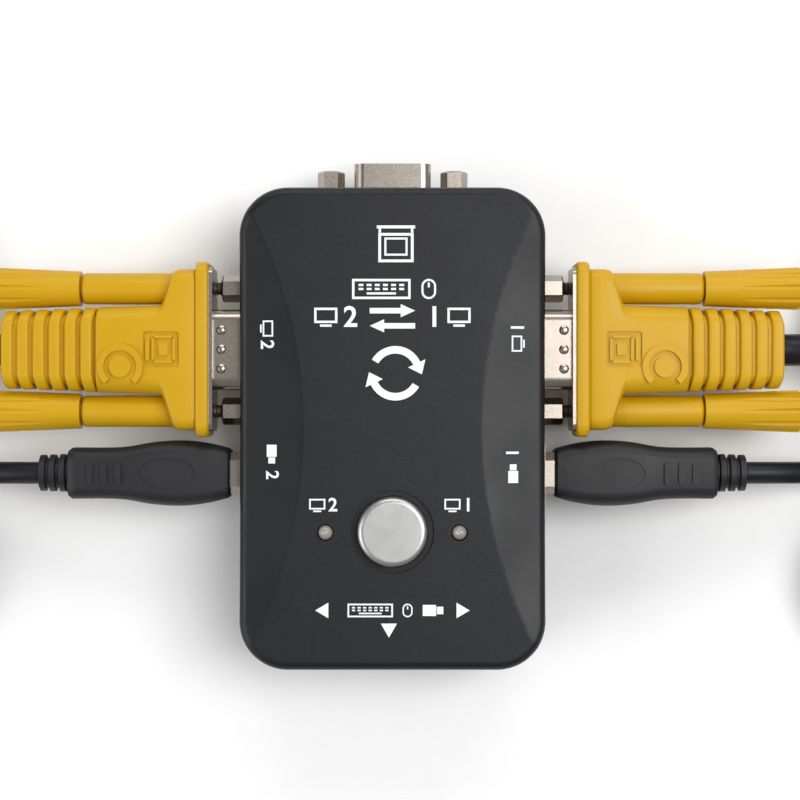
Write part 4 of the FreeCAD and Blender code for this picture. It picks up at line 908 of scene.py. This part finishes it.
def cord_curve(name, points, diameter):
    curve = bpy.data.curves.new(name, "CURVE")
    curve.dimensions = "3D"
    spline = curve.splines.new("NURBS")
    spline.points.add(len(points) - 1)
    for point, place in zip(spline.points, points):
        point.co = (*place, 1)
    spline.order_u = 3
    spline.use_endpoint_u = True
    spline.resolution_u = 4
    curve.bevel_depth = diameter / 2
    curve.bevel_resolution = 4
    curve.use_fill_caps = True
    piece = link(name, curve)
    wear(piece, "cord")
    return piece


def route(points, side):
    """Points in millimetres from the middle of the case, in metres and for one side."""
    return [(side * x * MM, CASE_Y + y * MM, z * MM) for x, y, z in points]


def mirrored(points, side):
    return [(side * x, y, z) for x, y, z in points]


def strap(name, x, y, width, height, length):
    """A band round one run of a hank, lying along X, with the tab of its end towards -Y."""
    bm = bmesh.new()
    wall, slack, tab_depth = 0.5 * MM, 0.05 * MM, 0.6 * MM
    outer = rounded_section(width / 2 + wall, height / 2 + wall, 2.6 * MM, 5)
    inner = rounded_section(width / 2 + slack, height / 2 + slack, 2.2 * MM, 5)
    rings = [[bm.verts.new((along, across, z)) for across, z in section]
             for along, section in ((-length / 2, outer), (length / 2, outer), (length / 2, inner),
                                    (-length / 2, inner))]
    bridge(bm, rings + rings[:1])
    edge = -width / 2
    tip = edge - wall - tab_depth
    tab = [(-length / 2, edge), (length / 2, edge), (length / 2, tip), (-length / 2, tip)]
    upright_prism(bm, tab, -height * 0.2, height * 0.25)
    band = finish_mesh(name, bm, "strap", 40)
    band.data.transform(Matrix.Translation((x, y, height / 2 + wall)))
    return band


# The free stretch of each lead, in millimetres from the middle of the case, for computer 1.
# The monitor lead rises over the near end of its hank and comes down inside it.
MONITOR_LEAD = ((78.5, 15.9, 14.3), (82.5, 15.9, 14.3), (88.5, 15.9, 16.7), (110, 15.9, 16.7),
                (130, 10, 3.25), (142, 7.05, 3.25), (150, 7.05, 3.25))
MONITOR_SLOTS = ((-1, 0), (0, 0), (1, 0), (0.5, 1), (-0.5, 1))
# The USB lead drops to the surface and joins its hank from outside.
USB_LEAD = ((72.1, -9.2, 13.45), (80, -9.2, 13.45), (97, -9.5, 2.25), (112, -13.75, 2.25),
            (140, -13.75, 2.25), (160, -13.75, 2.25))
USB_SLOTS = ((0.5, 0), (-0.5, 0), (-0.5, 1), (0.5, 1), (-0.5, 2))
# How far the end of a cord reaches into the far plug's boot.
INTO_BOOT = 0.6 * MM


class SWITCHBOX_OT_cords(bpy.types.Operator):
    """Lay the four cords with their tied hanks"""
    bl_idname = "switchbox.cords"
    bl_label = "Cords"

    def execute(self, context):
        settings = context.scene.switch_leads
        for label, side in SIDES:
            self.lay_monitor_cord(label, side, settings)
            self.lay_usb_cord(label, side, settings)
        return {"FINISHED"}

    def lay_monitor_cord(self, label, side, settings):
        cord = settings.vga_cord
        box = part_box("vga_coil_pc1")
        hank_x, hank_y, _ = centre_of(box)
        plug_low, plug_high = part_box("vga_far_plug_pc1")
        plug_y = (plug_low.y + plug_high.y) / 2
        boot_x = plug_high.x + PLUG_MOUTH - RELIEF_END
        boot_z = plug_low.z + FLANGE_HALF_HEIGHT
        turns = hank_turns(box, 3, MONITOR_SLOTS, cord, 1, (hank_y - plug_y, boot_z - 4 * MM),
                           (0.79, 1.05))
        end = [(hank_x - 13 * MM, plug_y, boot_z - 2.5 * MM), (hank_x - 6 * MM, plug_y, boot_z),
               (boot_x + INTO_BOOT, plug_y, boot_z)]
        points = route(MONITOR_LEAD, side) + mirrored(turns + end, side)
        self.declare("monitor", label, points, cord, settings.lead_length,
                     ("far_hood", "far_shell", "far_pins", "far_screw_rear", "far_screw_front"),
                     self.tie("monitor", label, side, box, 3, 2, cord, 9 * MM,
                              (15 * MM, 0.5 * MM)))

    def lay_usb_cord(self, label, side, settings):
        cord = settings.usb_cord
        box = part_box("usb_coil_pc1")
        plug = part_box("usb_far_plug_pc1")
        _, plug_y, boot_z = centre_of(plug)
        boot_x = plug[0].x
        turns = hank_turns(box, 2, USB_SLOTS, cord, -1, (7 * MM, boot_z), (0.45, 0.88))
        end = [(boot_x - 16 * MM, plug_y + 5.6 * MM, boot_z),
               (boot_x - 9 * MM, plug_y + 1 * MM, boot_z), (boot_x - 4 * MM, plug_y, boot_z),
               (boot_x + INTO_BOOT, plug_y, boot_z)]
        points = route(USB_LEAD, side) + mirrored(turns + end, side)
        self.declare("usb", label, points, cord, settings.lead_length,
                     ("usb_far_body", "usb_far_shell", "usb_far_tongue"),
                     self.tie("usb", label, side, box, 2, 3, cord, 7 * MM, (12 * MM, 12 * MM)))

    def declare(self, kind, label, points, cord, length, plug, straps):
        """Make the cord, hang it on its lead and hide the lead and coil that it stands in for."""
        piece = cord_curve(f"{kind}_cord_{label}", points, cord)
        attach(piece, f"{kind}_lead_{label}")
        nodes = "vga" if kind == "monitor" else "usb"
        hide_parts(f"{nodes}_lead_{label}", f"{nodes}_coil_{label}")
        plug = [bpy.data.objects[f"{name}_{label}"] for name in plug]

    def tie(self, kind, label, side, box, columns, layers, cord, length, offsets):
        """A strap round each long run of the hank, off its middle by the offsets."""
        hank_x, hank_y, _ = centre_of(box)
        run = (box[1].y - box[0].y) / 2 - columns * cord / 2
        straps = []
        for number, (end, offset) in enumerate(zip((-1, 1), offsets)):
            band = strap(f"{kind}_strap_{number}_{label}", side * (hank_x + offset),
                         hank_y + end * run, columns * cord, layers * cord, length)
            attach(band, f"{kind}_lead_{label}")
            straps.append(band)
        return straps


# ---- printing on the case

def rectangle_shape(x, y, width, height):
    return [(x - width / 2, y - height / 2), (x + width / 2, y - height / 2),
            (x + width / 2, y + height / 2), (x - width / 2, y + height / 2)]


def frame_shapes(x, y, width, height, line):
    """The four bars of a rectangular frame."""
    return [rectangle_shape(x, y + height / 2 - line / 2, width, line),
            rectangle_shape(x, y - height / 2 + line / 2, width, line),
            rectangle_shape(x - width / 2 + line / 2, y, line, height - 2 * line),
            rectangle_shape(x + width / 2 - line / 2, y, line, height - 2 * line)]


def turned_shapes(shapes, x, y, degrees):
    """The shapes turned about their origin and moved."""
    angle = math.radians(degrees)
    cos_a, sin_a = math.cos(angle), math.sin(angle)
    return [[(x + u * cos_a - v * sin_a, y + u * sin_a + v * cos_a) for u, v in shape]
            for shape in shapes]


def digit_shapes(number, height, x, y):
    """A numeral as triangles, centred on a point."""
    text = bpy.data.curves.new("numeral", "FONT")
    text.body = str(number)
    text.size = height / 0.7
    text.offset = height * 0.025
    text.align_x, text.align_y = "CENTER", "CENTER"
    piece = link("numeral", text)
    bpy.context.view_layer.update()
    mesh = bpy.data.meshes.new_from_object(piece.evaluated_get(
        bpy.context.evaluated_depsgraph_get()))
    shapes = [[(x + mesh.vertices[i].co.x, y + mesh.vertices[i].co.y) for i in face.vertices]
              for face in mesh.polygons]
    bpy.data.objects.remove(piece)
    bpy.data.curves.remove(text)
    bpy.data.meshes.remove(mesh)
    return shapes


def monitor_shapes(width):
    """A screen seen from the front, on its foot."""
    line = width * 0.1
    return (frame_shapes(0, width * 0.08, width, width * 0.66, line)
            + [rectangle_shape(0, -width * 0.36, width * 0.5, line)])


def keyboard_shapes(width, height):
    line = height * 0.12
    shapes = frame_shapes(0, 0, width, height, line)
    rows, keys = 2, int(width / height * 2.2)
    for row in range(rows):
        for key in range(keys):
            x = (key - (keys - 1) / 2) * (width - 4 * line) / keys
            shapes.append(rectangle_shape(x, height * (0.2 - 0.2 * row), width / keys * 0.5,
                                          height * 0.11))
    shapes.append(rectangle_shape(0, -height * 0.22, width * 0.5, height * 0.11))
    return shapes


def mouse_shapes(width, height):
    """A mouse: a rounded outline with its wheel."""
    line = height * 0.1
    outer = rounded_section(width / 2, height / 2, width / 2, 8)
    inner = rounded_section(width / 2 - line, height / 2 - line, width / 2 - line, 8)
    shapes = []
    for place in range(len(outer)):
        following = (place + 1) % len(outer)
        shapes.append([outer[place], outer[following], inner[following], inner[place]])
    shapes.append(rectangle_shape(0, height * 0.2, width * 0.14, height * 0.24))
    return shapes


def plug_shapes(width):
    """A plug seen from the side: its body and its narrower mouth."""
    return [rectangle_shape(-width * 0.2, 0, width * 0.6, width * 0.5),
            rectangle_shape(width * 0.28, 0, width * 0.3, width * 0.34)]


def arrow_shapes(width, height):
    """A bar with an arrow head at its right end."""
    head = height * 1.1
    return [rectangle_shape(-head / 2, 0, width - head, height * 0.42),
            [(width / 2 - head, -height / 2), (width / 2, 0), (width / 2 - head, height / 2)]]


def screen_badge():
    """The double-framed screen under a bar that marks the monitor socket."""
    return (frame_shapes(0, -1.1, 7, 5.8, 0.55) + frame_shapes(0, -0.9, 4.6, 3.6, 0.4)
            + [rectangle_shape(0, 3.0, 7.6, 0.6), rectangle_shape(-3.2, 2.3, 0.5, 0.9),
               rectangle_shape(3.2, 2.3, 0.5, 0.9)])


def case_symbols():
    """Every printed symbol, in millimetres on the case's plan."""
    shapes = turned_shapes(screen_badge(), 0.7, 37, 0)
    shapes += turned_shapes(keyboard_shapes(11.6, 4), -2.2, 27.7, 0)
    shapes += turned_shapes(mouse_shapes(2.9, 4), 7.2, 27.7, 0)
    for side, number in ((-1, 2), (1, 1)):
        shapes += turned_shapes(monitor_shapes(4.6), side * 13.2, 22.1, 0)
        shapes += digit_shapes(number, 4, side * 8.3, 22)
    shapes += turned_shapes(arrow_shapes(9, 2.6), 0, 23.4, 0)
    shapes += turned_shapes(arrow_shapes(9, 2.6), 0, 20.4, 180)
    for side, number, turn in ((-1, 2, -90), (1, 1, 90)):
        shapes += turned_shapes(monitor_shapes(3.2) + digit_shapes(number, 2.6, 3.2, 0),
                                side * 25, 18.4 - side * 1.5, turn)
        shapes += turned_shapes(plug_shapes(4) + digit_shapes(number, 2.5, 4, 0),
                                side * 24, -7 - side * 1.8, turn)
        shapes += turned_shapes(monitor_shapes(3.2) + digit_shapes(number, 2.6, 3.1, 0),
                                side * 13.4 - 1.5, -15.2, 0)
        shapes += turned_shapes([[(-1.3, -1.55), (1.3, 0), (-1.3, 1.55)]], side * 14, -36,
                                0 if side > 0 else 180)
    shapes += turned_shapes(keyboard_shapes(9, 2.7), -4.4, -36, 0)
    shapes += turned_shapes(mouse_shapes(2, 2.7), 3, -36, 0)
    shapes += turned_shapes(plug_shapes(4.4), 8.2, -36, 0)
    shapes += turned_shapes([[(-1.6, 1.4), (0, -1.4), (1.6, 1.4)]], -0.7, -40, 0)
    return shapes


def switch_symbol():
    """Two bent arrows chasing each other: change from one computer to the other."""
    shapes = []
    for turn in (0, 180):
        band = ring_arc(0, 0, 5.4, 1.5, 25, 150, 24)
        count = len(band) // 2
        strips = [[band[k], band[k + 1], band[-2 - k], band[-1 - k]] for k in range(count - 1)]
        angle = math.radians(25)
        middle = 5.4 - 0.75
        tip = (middle * math.cos(angle) + 2.4 * math.sin(angle),
               middle * math.sin(angle) - 2.4 * math.cos(angle))
        head = [((middle - 1.9) * math.cos(angle), (middle - 1.9) * math.sin(angle)), tip,
                ((middle + 1.9) * math.cos(angle), (middle + 1.9) * math.sin(angle))]
        shapes += turned_shapes(strips + [head], 0, 0, turn)
    return shapes


class SWITCHBOX_OT_printing(bpy.types.Operator):
    """Print the symbols on the case's top"""
    bl_idname = "switchbox.printing"
    bl_label = "Printed symbols"

    def execute(self, context):
        settings = context.scene.switch_box
        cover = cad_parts["top_cover"]
        surface = BVHTree.FromObject(cover, context.evaluated_depsgraph_get())
        bm = bmesh.new()
        for shape in case_symbols() + turned_shapes(switch_symbol(), 0.6, 11, 0):
            bm.faces.new([bm.verts.new((x * MM, CASE_Y + y * MM, 0)) for x, y in shape])
        bmesh.ops.triangulate(bm, faces=bm.faces)
        for _ in range(4):
            long_edges = [edge for edge in bm.edges if edge.calc_length() > 1.2 * MM]
            bmesh.ops.subdivide_edges(bm, edges=long_edges, cuts=1)
            bmesh.ops.triangulate(bm, faces=bm.faces)
        for face in bm.faces:
            face.normal_update()
            if face.normal.z < 0:
                face.normal_flip()
        for vertex in bm.verts:
            above = Vector((vertex.co.x, vertex.co.y, CASE_TOP + 10 * MM))
            vertex.co.z = surface.ray_cast(above, DOWN)[0].z + settings.print_lift
        mesh = bpy.data.meshes.new("printing")
        bm.to_mesh(mesh)
        bm.free()
        piece = link("printing", mesh)
        wear(piece, "print")
        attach(piece, "case")
        return {"FINISHED"}


# ---- finishes, lamps, stage

class SWITCHBOX_OT_finishes(bpy.types.Operator):
    """Give every piece of the frame its finish"""
    bl_idname = "switchbox.finishes"
    bl_label = "Finishes"

    def execute(self, context):
        LOOKS.update(make_materials())
        dress_nodes()
        return {"FINISHED"}


class SWITCHBOX_OT_lamps(bpy.types.Operator):
    """Make the small reflector and post inside each clear lamp"""
    bl_idname = "switchbox.lamps"
    bl_label = "Lamp insides"

    def execute(self, context):
        for label, _ in SIDES:
            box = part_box(f"lamp_{label}")
            x, y, _ = centre_of(box)
            profile = metres(((-0.6, 0.3), (0.4, 0.3), (0.9, 0.75), (0.95, 0.7), (0.6, 0.3)))
            cup = made(f"lamp_cup_{label}", "die", lathe, profile, segments=24)
            cup.data.transform(Matrix.Translation((x, y, box[1].z - 2.6 * MM))
                               @ Matrix.Rotation(-math.pi / 2, 4, "Y"))
            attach(cup, "case")
        return {"FINISHED"}


def area_light(name, place, size, power):
    """A white light that looks at the middle of the case."""
    data = bpy.data.lights.new(name, "AREA")
    data.shape = "RECTANGLE"
    data.size, data.size_y = size
    data.energy = power
    light = link(name, data)
    light.location = place
    light.rotation_euler = (-Vector(place)).to_track_quat("-Z", "Y").to_euler()


class SWITCHBOX_OT_stage(bpy.types.Operator):
    """Set the camera, the pale floor and the soft lights"""
    bl_idname = "switchbox.stage"
    bl_label = "Stage"

    def execute(self, context):
        settings = context.scene.switch_stage
        camera = bpy.data.cameras.new("camera")
        camera.sensor_width = 36
        camera.lens = camera.sensor_width * settings.camera_height / settings.view_width
        holder = link("camera", camera)
        holder.location = (settings.aim_x, settings.aim_y, VGA_Z + settings.camera_height)
        camera.clip_start, camera.clip_end = 0.01, 20
        context.scene.camera = holder

        bm = bmesh.new()
        bmesh.ops.create_grid(bm, x_segments=1, y_segments=1, size=4)
        floor = finish_mesh("floor", bm, "paper")
        floor.data.transform(Matrix.Translation((0, 0, CAD_LOW.z - 0.2 * MM)))

        world = bpy.data.worlds.new("studio")
        context.scene.world = world
        world.use_nodes = True
        sky = world.node_tree.nodes["Background"].inputs
        sky["Color"].default_value = linear("#FFFFFF")
        sky["Strength"].default_value = 0.32
        area_light("key", (0.5, 0.12, 1.0), (0.55, 0.8), 8.5)
        area_light("fill", (-0.9, -0.2, 0.6), (0.8, 0.8), 5.5)
        area_light("back", (0.1, 0.9, 0.6), (1.0, 0.4), 4.5)
        context.scene.view_settings.view_transform = "Standard"
        return {"FINISHED"}


class SWITCHBOX_PT_panel(bpy.types.Panel):
    """The switch box's sizes, colours and makers"""
    bl_label = "Switch box"
    bl_space_type = "VIEW_3D"
    bl_region_type = "UI"
    bl_category = "Switch box"

    def draw(self, context):
        for settings in (context.scene.switch_box, context.scene.switch_leads,
                         context.scene.switch_stage):
            for name in settings.bl_rna.properties.keys():
                if name not in ("rna_type", "name"):
                    self.layout.prop(settings, name)
        for operator in OPERATORS:
            self.layout.operator(operator.bl_idname)


OPERATORS = (SWITCHBOX_OT_finishes, SWITCHBOX_OT_stage, SWITCHBOX_OT_metalwork,
             SWITCHBOX_OT_hoods, SWITCHBOX_OT_usb_plugs, SWITCHBOX_OT_cords, SWITCHBOX_OT_lamps,
             SWITCHBOX_OT_printing)
CLASSES = (BoxSettings, LeadSettings, StageSettings) + OPERATORS + (SWITCHBOX_PT_panel,)


def register():
    for item in CLASSES:
        bpy.utils.register_class(item)
    scene = bpy.types.Scene
    scene.switch_box = bpy.props.PointerProperty(type=BoxSettings)
    scene.switch_leads = bpy.props.PointerProperty(type=LeadSettings)
    scene.switch_stage = bpy.props.PointerProperty(type=StageSettings)


def unregister():
    scene = bpy.types.Scene
    del scene.switch_box, scene.switch_leads, scene.switch_stage
    for item in reversed(CLASSES):
        bpy.utils.unregister_class(item)


def main():
    register()
    bpy.ops.switchbox.finishes()
    bpy.ops.switchbox.stage()
    bpy.ops.switchbox.metalwork()
    bpy.ops.switchbox.hoods()
    bpy.ops.switchbox.usb_plugs()
    bpy.ops.switchbox.cords()
    bpy.ops.switchbox.lamps()
    bpy.ops.switchbox.printing()


if __name__ == "__main__":
    main()
